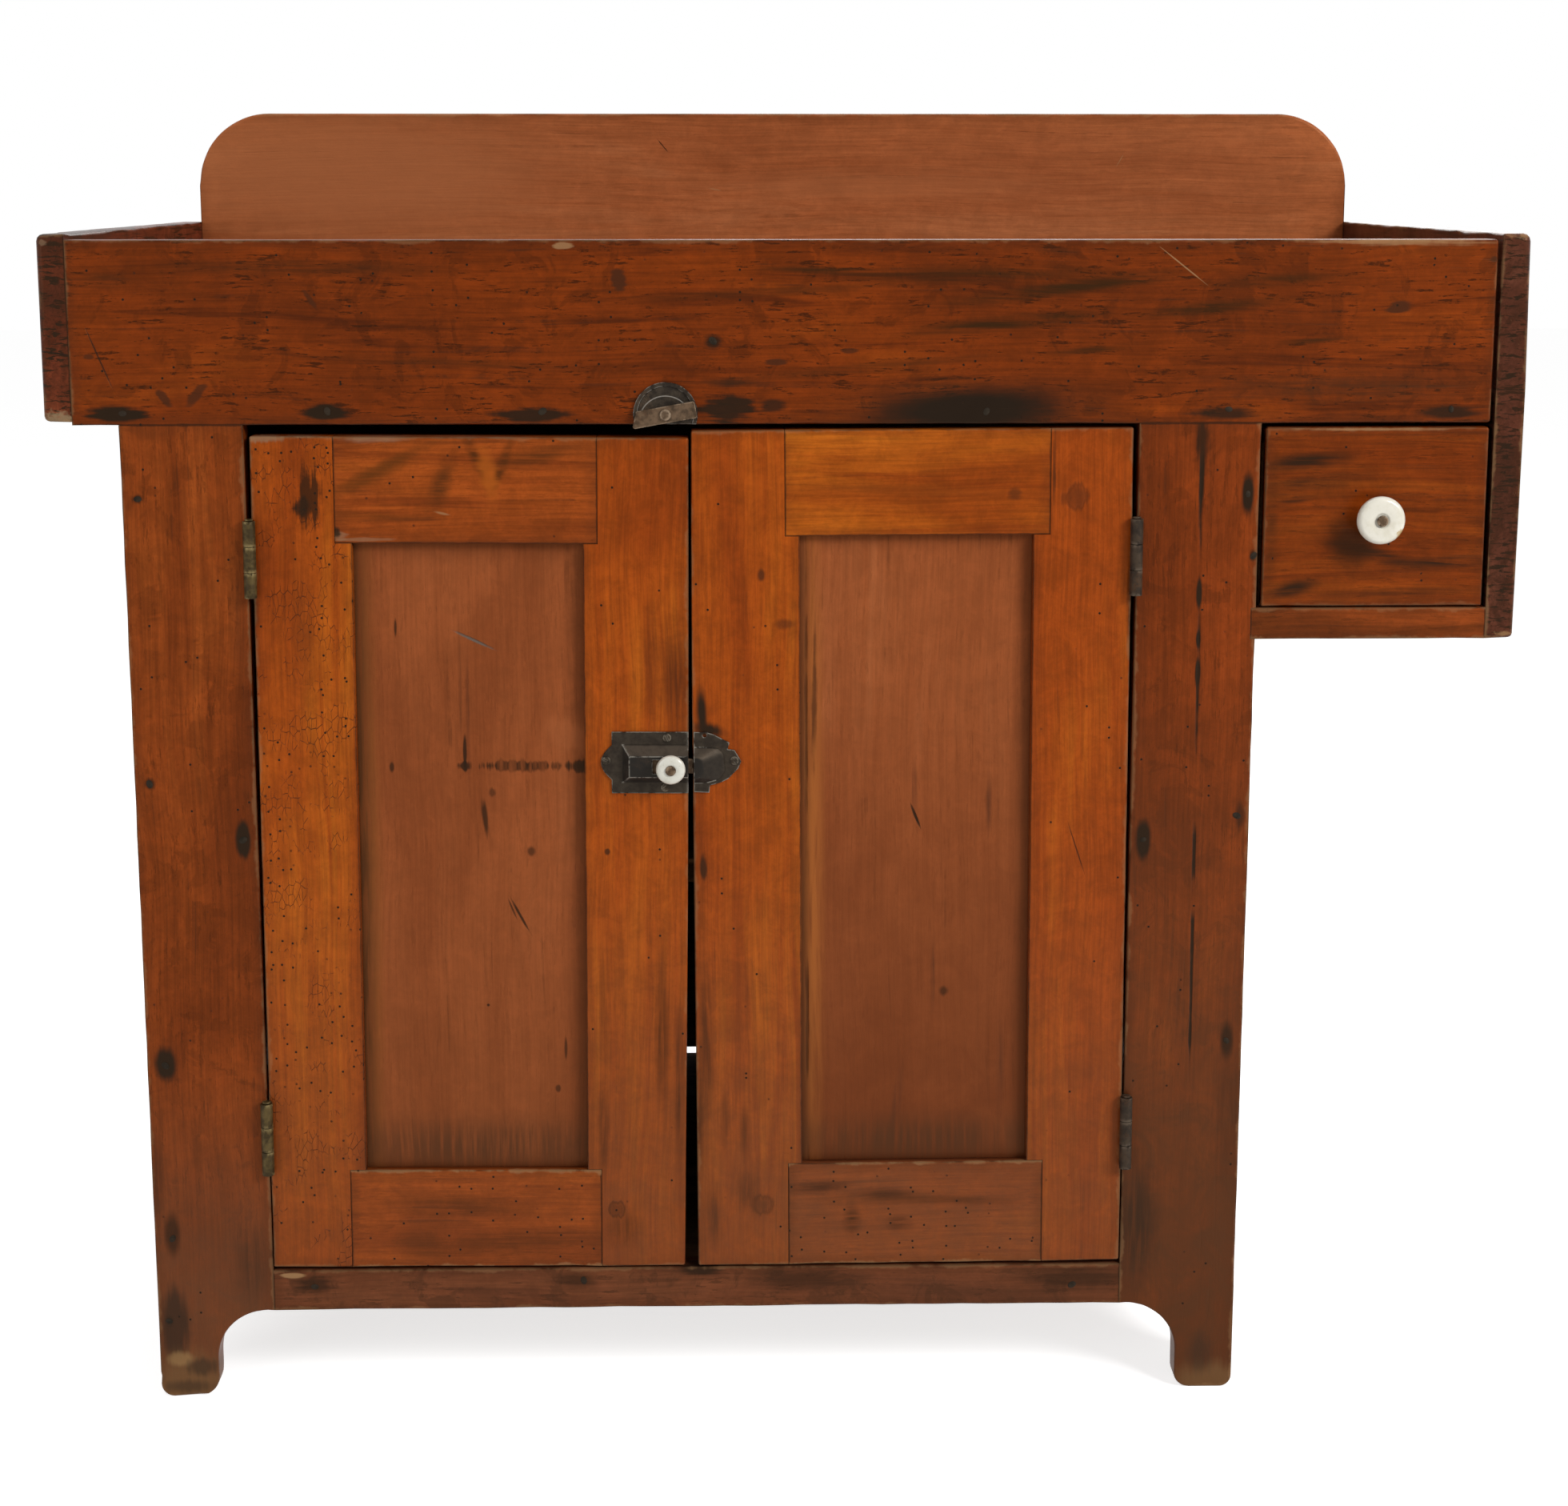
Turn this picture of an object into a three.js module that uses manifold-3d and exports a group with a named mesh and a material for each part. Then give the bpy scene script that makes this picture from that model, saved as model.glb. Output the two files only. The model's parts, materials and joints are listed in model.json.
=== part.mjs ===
// Dry sink cabinet: a two-door cupboard with a board tray on top and a drawer hung beside it.
// Millimetres, +X to the right, +Y to the rear, +Z up.
// Boards are drawn with y = 0 on the front face and z = 0 on the floor, and shifted in y at the end.
import * as THREE from 'three';
import { mergeVertices } from 'three/addons/utils/BufferGeometryUtils.js';
import Module from 'manifold-3d';

const wasm = await Module();
wasm.setup();

// Clearances and cutting values
const turnedGap = 0.3;        // between pieces that stand in a turned group, or turn past each other
const boardGap = 1;           // shrinkage between back boards
const cutOver = 5;            // how far a cutting solid runs past the face it opens
const arcSteps = 10;          // segments in a quarter round
const roundSteps = 28;        // segments in a full turn

// Tray
const trayWidth = 1150;
const trayDepth = 552;
const trayFrontHeight = 141.5;
const trayBoardThick = 22;
const trayEndRise = 4.5;      // the ends stand this much over the front board
const trayEndLift = 2.5;      // underside of the left end over the tray's underside
const rightEndThick = 23;     // the tray's right end and the drawer bay's side under it
const trayRightEndClear = 4.5; // foot of the right end over the tray's floor
const trayFrontShrink = 3;    // open joint at the right end of the front board
const trayFloorThick = 21;
const trayFloorBoardCount = 3;
const backsplashHeight = 248.5;
const backsplashRadius = 68;

// Case
const caseHeight = 803.5;
const caseInset = 57.5;       // from the tray's left face to the case's left face
const caseBoardThick = 22;
const stileWidth = 95.5;
const footShoulder = 5.5;     // level stretch between a foot's arc and the stile's inner edge
const sideFootWidth = 62;     // foot seen from the side, stile included
const footRise = 75;
const footRadius = 42;
const toeRadius = 7;
const apronHeight = 34.5;
const backBoardThick = 18;
const backBoardCount = 4;
const backSlit = 6;           // open slit under the lowest back board
const lowestBackBoardHeight = 196;
const cabinetFloorThick = 20;
const shelfThick = 20;
const shelfHeight = 430;      // underside of the shelf
const shelfSetback = 2;       // from the back of the doors to the front of the shelf
const housingDepth = 7;       // how far floor and shelf are let into the sides

// Drawer bay beside the case
const baySideHeight = 196.5;
const bayFloorThick = 25;
const bayFloorHousing = 4;    // how far the bay's floor is let into the case

// Drawer
const drawerWidth = 175;
const drawerTopGap = 3.3;     // over the drawer's front
const drawerFrontThick = 20;
const drawerFrontLift = 1.2;  // lower edge of the front over the bay's floor
const drawerSideGap = 4;      // from the case to the drawer's left side
const drawerEndGap = 3.5;     // from the drawer's right side to the bay's side
const drawerSideThick = 12;
const drawerSideDrop = 12.4;  // from the front's top down to the top of the sides
const drawerRunGap = 0.3;     // under the drawer's sides
const drawerRearGap = 44;     // from the drawer's back end to the bay's back
const drawerLap = 8;          // wood of the front left over the ends of the sides
const drawerBackThick = 12;
const drawerBottomThick = 8;
const drawerBottomLift = 10;
const drawerGroove = 5;

// Doors
const doorThick = 22;
const doorBottomGap = 3.3;    // at the hinge edge, over the apron
const doorSideGap = 0.8;      // at the foot of the hinge edge
const hingeStileWidth = 77.5;
const lockStileWidth = 82.5;
const hingeStileNotch = 13.5; // how far a rail reaches over the wide part of the hinge stile
const lockStileNotch = 11.5;
const topRailHeight = 83.5;
const tenonThick = 8;
const tenonLength = 44;
const tenonShoulder = 12;     // wood above and below a tenon
const panelThick = 9;
const panelSetback = 8.5;     // from the door's face to the panel's face
const panelTongue = 8;        // how far the panel reaches into its grooves
const meetingGap = 10.9;      // between the feet of the two doors
const doorWidthDifference = 3.5; // the right door is this much wider
const leftDoor = { side: 1, topGap: 8.7, bottomRailHeight: 83.5, sagDegrees: 0.32, axisInset: 1.2 };
const rightDoor = { side: -1, topGap: 3.2, bottomRailHeight: 87.5, sagDegrees: -0.3, axisInset: 3 };

// Butt hinges
const hingeHeight = 60.5;
const barrelRadius = 5;
const pinRadius = 2.1;
const pinHeadRadius = 3.4;
const pinHeadHeight = 1.4;
const leafThick = 2.4;
const leafRearMargin = 3;     // wood of the door left behind a leaf
const knuckleGap = 0.4;
const knuckleCount = 3;
const lowerHingeHeight = 82;  // foot of the lower hinge over the foot of the door
const upperHingeDrop = 134.7; // from the tray's underside to the foot of the upper hinge

// Slam latch on the left door, keeper on the right door
const latchHeight = 399;      // foot of the latch plate over the foot of the door
const latchPlate = { width: 61, height: 50, thick: 1.8 };
const latchEar = { reach: 8.5, halfHeight: 14 };
const latchBox = { width: 54, lift: 7.5, height: 34, bevel: 7, bevelHigh: 10, wall: 1.8 };
const boltSize = { height: 11.6, thick: 4.4, lift: 17.4, bevel: 3.2 };
const boltRoom = 1.2;         // before the bolt, inside its casing
const boltClear = 0.73;       // from the bolt's tip to the keeper
const boltTravel = 9;
const latchKnob = {
  inset: 13.8, radius: 11.8, footRadius: 5.2, neckRadius: 5.2, length: 13.2, rimLength: 6,
};
const latchRivet = { headRadius: 4.3, headHeight: 1, shankRadius: 1.9 };
const springSize = { radius: 2.1, wire: 0.6, turns: 3, length: 3.6, stepsPerTurn: 10, sides: 3 };
const springGap = 0.2;        // from the spring to the bolt when the bolt is drawn back
const keeperPlate = { width: 31, height: 49, thick: 1.8, overhang: 2, lift: 399.5 };
const keeperEar = { reach: 6.5, halfHeight: 13 };
const keeperBox = { width: 29, lift: 7, height: 34 };

// Turn button over the doors
const buttonPlate = { radius: 25.2, thick: 2, rimWidth: 3.6, rimRise: 1, pivotLift: 7.8 };
const buttonPivotSetback = 13.8; // from the left door's lock edge
const buttonBar = { width: 13, thick: 3.6, lowerArm: 26.5, upperArm: 24, corner: 2, slant: 4 };
const buttonRestDegrees = 80; // from hanging straight down
const buttonRivet = { headRadius: 4.6, headHeight: 1.8, shankRadius: 2.5, depth: 14 };

// Drawer knob
const drawerKnob = {
  radius: 19, neckRadius: 8.5, footRadius: 10.5, neckLength: 6, length: 19, rimLength: 9,
};
const drawerScrew = { headRadius: 4.6, headHeight: 1.2, shankRadius: 2.4, nutRadius: 6, nutHeight: 4 };
const knobHoleGap = 0.35;
// Shares of a knob's radius at its shoulder and face, and of its rim's length at its belly and dome
const knobShares = { shoulder: 0.9, face: 0.88, belly: 0.45, dome: 0.16 };

// Places worked out from the sizes
const trayLeft = -trayWidth / 2;
const trayRight = trayWidth / 2;
const innerLeft = trayLeft + trayBoardThick;
const rightEndLeft = trayRight - rightEndThick;
const trayTop = caseHeight + trayFrontHeight;
const endTop = trayTop + trayEndRise;
const backsplashFront = trayDepth - trayBoardThick;
const backBoardFront = trayDepth - backBoardThick;
const bayWidth = drawerSideGap + drawerWidth + drawerEndGap + rightEndThick;
const caseLeft = trayLeft + caseInset;
const caseRight = trayRight - bayWidth;
const sideInnerLeft = caseLeft + caseBoardThick;
const sideInnerRight = caseRight - caseBoardThick;
const footWidth = stileWidth - footRadius - footShoulder;
const openingLeft = caseLeft + stileWidth;
const openingRight = caseRight - stileWidth;
const apronTop = footRise + apronHeight;

// Places in the drawer bay
const baySideTop = caseHeight + trayFloorThick + trayRightEndClear;
const bayBottom = baySideTop - baySideHeight;
const bayFloorTop = bayBottom + bayFloorThick;
const drawerLeft = caseRight + drawerSideGap;
const drawerRight = drawerLeft + drawerWidth;
const drawerBase = bayFloorTop + drawerRunGap;
const drawerFrontBase = bayFloorTop + drawerFrontLift;
const drawerFrontTop = caseHeight - drawerTopGap;
const drawerSideTop = drawerFrontTop - drawerSideDrop;
const drawerLength = backBoardFront - drawerRearGap;

// Places on the doors
const doorBottom = apronTop + doorBottomGap;
const doorWidths = openingRight - openingLeft - 2 * doorSideGap - meetingGap;
leftDoor.width = (doorWidths - doorWidthDifference) / 2;
rightDoor.width = (doorWidths + doorWidthDifference) / 2;
leftDoor.height = caseHeight - leftDoor.topGap - doorBottom;
rightDoor.height = caseHeight - rightDoor.topGap - doorBottom;
const upperHingeHeight = caseHeight - upperHingeDrop - doorBottom;
const leafWidth = doorThick - leafRearMargin;
const barrelSetout = barrelRadius + turnedGap; // the hinge axis stands this much before the doors
const buttonPivotX = openingLeft + doorSideGap + leftDoor.width - buttonPivotSetback;

// The latch: the doors lean towards each other by meetingLean at the bolt's height
const lean = (door) => Math.abs(Math.sin(THREE.MathUtils.degToRad(door.sagDegrees)));
const boltCentre = latchHeight + boltSize.lift + boltSize.height / 2;
const meetingLean = boltCentre * (lean(leftDoor) + lean(rightDoor));
const boltReach = meetingGap - meetingLean - keeperPlate.overhang - boltClear;
const casingEnd = latchBox.width - latchBox.wall - latchBox.bevel;
const boltLength = casingEnd - springSize.length - springGap - boltTravel + boltReach;
const latchRise = latchPlate.thick + turnedGap + boltSize.thick + boltRoom + latchBox.wall;

// Materials
const paint = (color, roughness, metalness = 0) =>
  new THREE.MeshStandardMaterial({ color, roughness, metalness });
const trayWood = paint(0x8a3a12, 0.35);
const caseWood = paint(0x93441c, 0.4);
const doorWood = paint(0xb2591a, 0.35);
const panelWood = paint(0x8f4422, 0.45);
const endWood = paint(0x4a1b12, 0.45);
const innerWood = paint(0x8a5c38, 0.8);
const iron = paint(0x3a332f, 0.6, 0.8);
const agedBrass = paint(0x6d6238, 0.5, 0.8);
const porcelain = paint(0xe9e5da, 0.15);

// Geometry helpers
function box(x0, x1, y0, y1, z0, z1) {
  const geometry = new THREE.BoxGeometry(Math.abs(x1 - x0), Math.abs(y1 - y0), Math.abs(z1 - z0));
  return geometry.translate((x0 + x1) / 2, (y0 + y1) / 2, (z0 + z1) / 2);
}

function outline(points) {
  const shape = new THREE.Shape();
  shape.moveTo(...points[0]);
  points.slice(1).forEach((point) => shape.lineTo(...point));
  return shape;
}

function extrude(shape, depth) {
  return new THREE.ExtrudeGeometry(shape, { depth, bevelEnabled: false, curveSegments: arcSteps });
}

// A shape drawn in x and z, as seen from the front, with its front face at yFront
function frontSlab(shape, yFront, thick) {
  return extrude(shape, thick).rotateX(Math.PI / 2).translate(0, yFront + thick, 0);
}

// A shape drawn in y and z, as seen from the side
function sideSlab(shape, xLeft, thick) {
  const turn = new THREE.Matrix4().makeBasis(
    new THREE.Vector3(0, 1, 0), new THREE.Vector3(0, 0, 1), new THREE.Vector3(1, 0, 0));
  return extrude(shape, thick).applyMatrix4(turn).translate(xLeft, 0, 0);
}

// A turned form whose axis points to the front; the profile is radius against distance to the front
function frontLathe(profile, x, z) {
  const points = profile.map(([radius, reach]) => new THREE.Vector2(radius, reach));
  return new THREE.LatheGeometry(points, roundSteps).rotateX(Math.PI).translate(x, 0, z);
}

function rod(radius, height, x, y, z) {
  return new THREE.CylinderGeometry(radius, radius, height, roundSteps)
    .rotateX(Math.PI / 2).translate(x, y, z + height / 2);
}

function frontRod(radius, x, z, y0, y1) {
  return new THREE.CylinderGeometry(radius, radius, Math.abs(y1 - y0), roundSteps)
    .translate(x, (y0 + y1) / 2, z);
}

function toSolid(geometry) {
  const bare = geometry.clone();
  bare.deleteAttribute('normal');
  bare.deleteAttribute('uv');
  const merged = mergeVertices(bare);
  return new wasm.Manifold(new wasm.Mesh({
    numProp: 3,
    vertProperties: Float32Array.from(merged.attributes.position.array),
    triVerts: Uint32Array.from(merged.index.array),
  }));
}

function toGeometry(solid) {
  const mesh = solid.getMesh();
  const geometry = new THREE.BufferGeometry();
  geometry.setAttribute('position', new THREE.BufferAttribute(mesh.vertProperties, 3));
  geometry.setIndex(new THREE.BufferAttribute(mesh.triVerts, 1));
  return geometry;
}

function join(...geometries) {
  return toGeometry(geometries.map(toSolid).reduce((sum, next) => sum.add(next)));
}

function cut(geometry, ...tools) {
  return toGeometry(tools.map(toSolid).reduce((rest, tool) => rest.subtract(tool), toSolid(geometry)));
}

function place(parent, name, geometry, material) {
  const mesh = new THREE.Mesh(geometry, material);
  mesh.name = name;
  parent.add(mesh);
  return mesh;
}

// The front view of a stile: side +1 has its outer edge on the left, -1 on the right
function stileShape(outer, side) {
  const at = (offset) => outer + side * offset;
  const shape = new THREE.Shape();
  const mirrored = side < 0;
  shape.moveTo(at(toeRadius), 0);
  shape.lineTo(at(footWidth - toeRadius), 0);
  shape.quadraticCurveTo(at(footWidth), 0, at(footWidth), toeRadius);
  shape.lineTo(at(footWidth), footRise - footRadius);
  shape.absarc(at(footWidth + footRadius), footRise - footRadius, footRadius,
    mirrored ? 0 : Math.PI, Math.PI / 2, !mirrored);
  shape.lineTo(at(stileWidth), footRise);
  shape.lineTo(at(stileWidth), caseHeight);
  shape.lineTo(at(0), caseHeight);
  shape.lineTo(at(0), toeRadius);
  shape.quadraticCurveTo(at(0), 0, at(toeRadius), 0);
  return shape;
}

// The side board seen from the right, with an arch between its two feet
function sideShape() {
  const archFront = sideFootWidth;
  const archRear = backBoardFront - sideFootWidth;
  const springing = footRise - footRadius;
  const shape = new THREE.Shape();
  shape.moveTo(caseBoardThick, 0);
  shape.lineTo(archFront, 0);
  shape.lineTo(archFront, springing);
  shape.absarc(archFront + footRadius, springing, footRadius, Math.PI, Math.PI / 2, true);
  shape.lineTo(archRear - footRadius, footRise);
  shape.absarc(archRear - footRadius, springing, footRadius, Math.PI / 2, 0, true);
  shape.lineTo(archRear, 0);
  shape.lineTo(backBoardFront, 0);
  shape.lineTo(backBoardFront, caseHeight);
  shape.lineTo(caseBoardThick, caseHeight);
  return shape;
}

// Housings in the inner face of a side for the cabinet floor and the shelf
function sideHousings(innerFace, side) {
  const deep = innerFace - side * housingDepth;
  const open = innerFace + side * cutOver;
  const floorCut = box(deep, open, caseBoardThick - cutOver, backBoardFront + cutOver,
    apronTop - cabinetFloorThick, apronTop);
  const shelfCut = box(deep, open, doorThick + shelfSetback, backBoardFront + cutOver,
    shelfHeight, shelfHeight + shelfThick);
  return [floorCut, shelfCut];
}

// Where the bay's floor is let into the case
function bayHousing() {
  return box(caseRight - bayFloorHousing, caseRight + cutOver, -cutOver, backBoardFront + cutOver,
    bayBottom, bayFloorTop);
}

function doorMatrix(door) {
  const edge = door.side > 0 ? openingLeft + doorSideGap : openingRight - doorSideGap;
  const turn = new THREE.Matrix4().makeRotationY(THREE.MathUtils.degToRad(door.sagDegrees));
  return turn.setPosition(edge, 0, doorBottom);
}

// Recesses in a case stile for the fixed leaves of one door's hinges
function leafRecesses(door) {
  const axis = -door.side * door.axisInset;
  return [lowerHingeHeight, upperHingeHeight].map((foot) => {
    const leaf = box(axis + door.side * cutOver, axis - door.side * (turnedGap + leafThick),
      -cutOver, leafWidth + turnedGap, foot - turnedGap, foot + hingeHeight + turnedGap);
    return leaf.applyMatrix4(doorMatrix(door));
  });
}

function addCase(parent) {
  const leftStile = frontSlab(stileShape(caseLeft, 1), 0, caseBoardThick);
  const rightStile = frontSlab(stileShape(caseRight, -1), 0, caseBoardThick);
  place(parent, 'left_stile', cut(leftStile, ...leafRecesses(leftDoor)), caseWood);
  place(parent, 'right_stile', cut(rightStile, bayHousing(), ...leafRecesses(rightDoor)), caseWood);
  place(parent, 'apron_rail',
    box(openingLeft, openingRight, 0, caseBoardThick, footRise, apronTop), caseWood);
  const side = sideShape();
  place(parent, 'left_side',
    cut(sideSlab(side, caseLeft, caseBoardThick), ...sideHousings(sideInnerLeft, 1)), caseWood);
  place(parent, 'right_side',
    cut(sideSlab(side, sideInnerRight, caseBoardThick), bayHousing(),
      ...sideHousings(sideInnerRight, -1)), caseWood);
  place(parent, 'cabinet_floor',
    box(sideInnerLeft - housingDepth, sideInnerRight + housingDepth, caseBoardThick, backBoardFront,
      apronTop - cabinetFloorThick, apronTop), innerWood);
  place(parent, 'shelf',
    box(sideInnerLeft - housingDepth, sideInnerRight + housingDepth, doorThick + shelfSetback,
      backBoardFront, shelfHeight, shelfHeight + shelfThick), innerWood);
  addBackBoards(parent);
}

function addBackBoards(parent) {
  const start = apronTop + backSlit;
  const upperStart = start + lowestBackBoardHeight;
  const upperHeight = (caseHeight - upperStart) / (backBoardCount - 1);
  for (let i = 0; i < backBoardCount; i += 1) {
    const foot = i === 0 ? start : upperStart + (i - 1) * upperHeight + boardGap;
    const head = i === 0 ? upperStart : upperStart + i * upperHeight;
    place(parent, `back_board_${i + 1}`,
      box(caseLeft, caseRight, backBoardFront, trayDepth, foot, head), innerWood);
  }
}

function backsplashShape() {
  const top = caseHeight + backsplashHeight;
  const shape = new THREE.Shape();
  shape.moveTo(innerLeft, caseHeight);
  shape.lineTo(rightEndLeft, caseHeight);
  shape.lineTo(rightEndLeft, top - backsplashRadius);
  shape.absarc(rightEndLeft - backsplashRadius, top - backsplashRadius, backsplashRadius, 0, Math.PI / 2);
  shape.lineTo(innerLeft + backsplashRadius, top);
  shape.absarc(innerLeft + backsplashRadius, top - backsplashRadius, backsplashRadius,
    Math.PI / 2, Math.PI);
  return shape;
}

function addTray(parent) {
  const rivetHole = frontRod(buttonRivet.shankRadius + turnedGap, buttonPivotX,
    caseHeight + buttonPlate.pivotLift, -cutOver, buttonRivet.depth + turnedGap);
  const front = box(innerLeft, rightEndLeft - trayFrontShrink, 0, trayBoardThick, caseHeight, trayTop);
  place(parent, 'tray_front', cut(front, rivetHole), trayWood);
  place(parent, 'tray_left_end',
    box(trayLeft, innerLeft, 0, trayDepth, caseHeight + trayEndLift, endTop), endWood);
  place(parent, 'tray_right_end',
    box(rightEndLeft, trayRight, 0, trayDepth, baySideTop, endTop), endWood);
  place(parent, 'backsplash',
    frontSlab(backsplashShape(), backsplashFront, trayBoardThick), panelWood);
  const boardDepth = (backsplashFront - trayBoardThick) / trayFloorBoardCount;
  for (let i = 0; i < trayFloorBoardCount; i += 1) {
    const near = trayBoardThick + i * boardDepth;
    place(parent, `tray_floor_board_${i + 1}`,
      box(innerLeft, rightEndLeft, near, near + boardDepth, caseHeight, caseHeight + trayFloorThick),
      trayWood);
  }
}

function addDrawerBay(parent) {
  place(parent, 'drawer_bay_side',
    box(rightEndLeft, trayRight, 0, trayDepth, bayBottom, baySideTop), endWood);
  place(parent, 'drawer_bay_floor',
    box(caseRight - bayFloorHousing, rightEndLeft, 0, backBoardFront, bayBottom, bayFloorTop), caseWood);
  place(parent, 'drawer_bay_back',
    box(caseRight, rightEndLeft, backBoardFront, trayDepth, bayBottom, caseHeight), innerWood);
}

// A knuckled leaf: reach is +1 for the door's side of the barrel and -1 for the case's side
function hingeLeaf(axis, foot, reach, knuckles, foreignKnuckles) {
  const near = axis + reach * turnedGap / 2;
  const far = near + reach * leafThick;
  const plate = box(near, far, -barrelSetout, leafWidth, foot, foot + hingeHeight);
  const rings = knuckles.map(([low, high]) =>
    rod(barrelRadius, high - low, axis, -barrelSetout, foot + low));
  const reliefs = foreignKnuckles.map(([low, high]) =>
    rod(barrelRadius + turnedGap, high - low + 2 * knuckleGap, axis, -barrelSetout,
      foot + low - knuckleGap));
  const bore = rod(pinRadius + turnedGap, hingeHeight + 2 * cutOver, axis, -barrelSetout, foot - cutOver);
  return cut(join(cut(plate, ...reliefs), ...rings), bore);
}

function hingePin(axis, foot) {
  const shank = rod(pinRadius, hingeHeight + turnedGap, axis, -barrelSetout, foot);
  const head = rod(pinHeadRadius, pinHeadHeight, axis, -barrelSetout, foot + hingeHeight + turnedGap);
  return join(shank, head);
}

function addHinges(parent, door, prefix, metal) {
  const axis = -door.side * door.axisInset;
  const third = hingeHeight / knuckleCount;
  const outer = [[0, third - knuckleGap], [hingeHeight - third + knuckleGap, hingeHeight]];
  const middle = [[third, hingeHeight - third]];
  [['lower', lowerHingeHeight], ['upper', upperHingeHeight]].forEach(([level, foot]) => {
    const name = `${prefix}_${level}`;
    place(parent, `${name}_case_leaf`, hingeLeaf(axis, foot, -door.side, outer, middle), metal);
    place(parent, `${name}_door_leaf`, hingeLeaf(axis, foot, door.side, middle, outer), metal);
    place(parent, `${name}_hinge_pin`, hingePin(axis, foot), metal);
  });
}

// Recesses in the hinge edge of a door for its own leaves and for the barrels
function doorLeafRecesses(door) {
  const axis = -door.side * door.axisInset;
  const deep = axis + door.side * (turnedGap / 2 + leafThick + turnedGap);
  return [lowerHingeHeight, upperHingeHeight].map((foot) =>
    box(axis - door.side * cutOver, deep, -cutOver, leafWidth + turnedGap,
      foot - turnedGap, foot + hingeHeight + turnedGap));
}

// Sizes of one door frame, measured across from its hinge edge and up from its foot
function doorFrame(door) {
  return {
    railLeft: hingeStileWidth - hingeStileNotch,
    railRight: door.width - lockStileWidth + lockStileNotch,
    panelLeft: hingeStileWidth,
    panelRight: door.width - lockStileWidth,
    panelFoot: door.bottomRailHeight,
    panelHead: door.height - topRailHeight,
  };
}

// The groove that holds the panel, and a tenon's cross-section, lie in the same layer of the door
const grooveFront = panelSetback - turnedGap;
const grooveRear = panelSetback + panelThick + turnedGap;
const grooveDeep = panelTongue + turnedGap;

function stepShape(door, edge, wide, narrow, frame) {
  const at = (across) => door.side * across;
  return outline([
    [at(edge), 0], [at(narrow), 0], [at(narrow), frame.panelFoot], [at(wide), frame.panelFoot],
    [at(wide), frame.panelHead], [at(narrow), frame.panelHead], [at(narrow), door.height],
    [at(edge), door.height],
  ]);
}

function doorStile(door, frame, edge, wide, narrow) {
  const inward = Math.sign(wide - edge);
  const body = frontSlab(stepShape(door, edge, wide, narrow, frame), 0, doorThick);
  const groove = box(door.side * (wide - inward * grooveDeep), door.side * (wide + inward * cutOver),
    grooveFront, grooveRear, frame.panelFoot - turnedGap, frame.panelHead + turnedGap);
  const mortises = tenonSpans(door, frame).map(([low, high]) =>
    box(door.side * (narrow - inward * (tenonLength + turnedGap)), door.side * (narrow + inward * cutOver),
      panelSetback - turnedGap, panelSetback + tenonThick + turnedGap, low - turnedGap, high + turnedGap));
  return cut(body, groove, ...mortises);
}

function tenonSpans(door, frame) {
  return [
    [tenonShoulder, frame.panelFoot - tenonShoulder],
    [frame.panelHead + tenonShoulder, door.height - tenonShoulder],
  ];
}

// A rail with its two tenons; the span is its foot and head, and grooved is the edge that holds the panel
function doorRail(door, frame, foot, head, tenonSpan, grooved) {
  const [low, high] = tenonSpan;
  const left = frame.railLeft + turnedGap;
  const right = frame.railRight - turnedGap;
  const body = box(door.side * left, door.side * right, 0, doorThick, foot, head);
  const tenons = box(door.side * (left - tenonLength), door.side * (right + tenonLength),
    panelSetback, panelSetback + tenonThick, low, high);
  const inward = grooved === head ? -1 : 1;
  const groove = box(door.side * (frame.panelLeft - grooveDeep), door.side * (frame.panelRight + grooveDeep),
    grooveFront, grooveRear, grooved + inward * grooveDeep, grooved - inward * cutOver);
  return cut(join(body, tenons), groove);
}

function addDoor(parent, door, prefix, metal) {
  const frame = doorFrame(door);
  const [lowTenon, highTenon] = tenonSpans(door, frame);
  const hingeStile = doorStile(door, frame, 0, frame.panelLeft, frame.railLeft);
  place(parent, `${prefix}_hinge_stile`, cut(hingeStile, ...doorLeafRecesses(door)), doorWood);
  place(parent, `${prefix}_lock_stile`,
    doorStile(door, frame, door.width, frame.panelRight, frame.railRight), doorWood);
  place(parent, `${prefix}_bottom_rail`,
    doorRail(door, frame, 0, frame.panelFoot - turnedGap, lowTenon, frame.panelFoot - turnedGap), doorWood);
  place(parent, `${prefix}_top_rail`,
    doorRail(door, frame, frame.panelHead + turnedGap, door.height, highTenon,
      frame.panelHead + turnedGap), doorWood);
  const panel = box(door.side * (frame.panelLeft - panelTongue), door.side * (frame.panelRight + panelTongue),
    panelSetback, panelSetback + panelThick, frame.panelFoot - panelTongue, frame.panelHead + panelTongue);
  place(parent, `${prefix}_panel`, panel, panelWood);
  addHinges(parent, door, prefix, metal);
}

// A plate on a door's face with a rounded ear on one end; toward is the ear's direction in x
function earedPlate(edge, toward, plate, foot, ear) {
  const far = edge + toward * plate.width;
  const tip = far + toward * ear.reach;
  const centre = foot + plate.height / 2;
  const shape = new THREE.Shape();
  shape.moveTo(edge, foot);
  shape.lineTo(far, foot);
  shape.lineTo(far, centre - ear.halfHeight);
  shape.quadraticCurveTo(tip, centre - ear.halfHeight / 2, tip, centre);
  shape.quadraticCurveTo(tip, centre + ear.halfHeight / 2, far, centre + ear.halfHeight);
  shape.lineTo(far, foot + plate.height);
  shape.lineTo(edge, foot + plate.height);
  return frontSlab(shape, -plate.thick, plate.thick);
}

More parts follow.
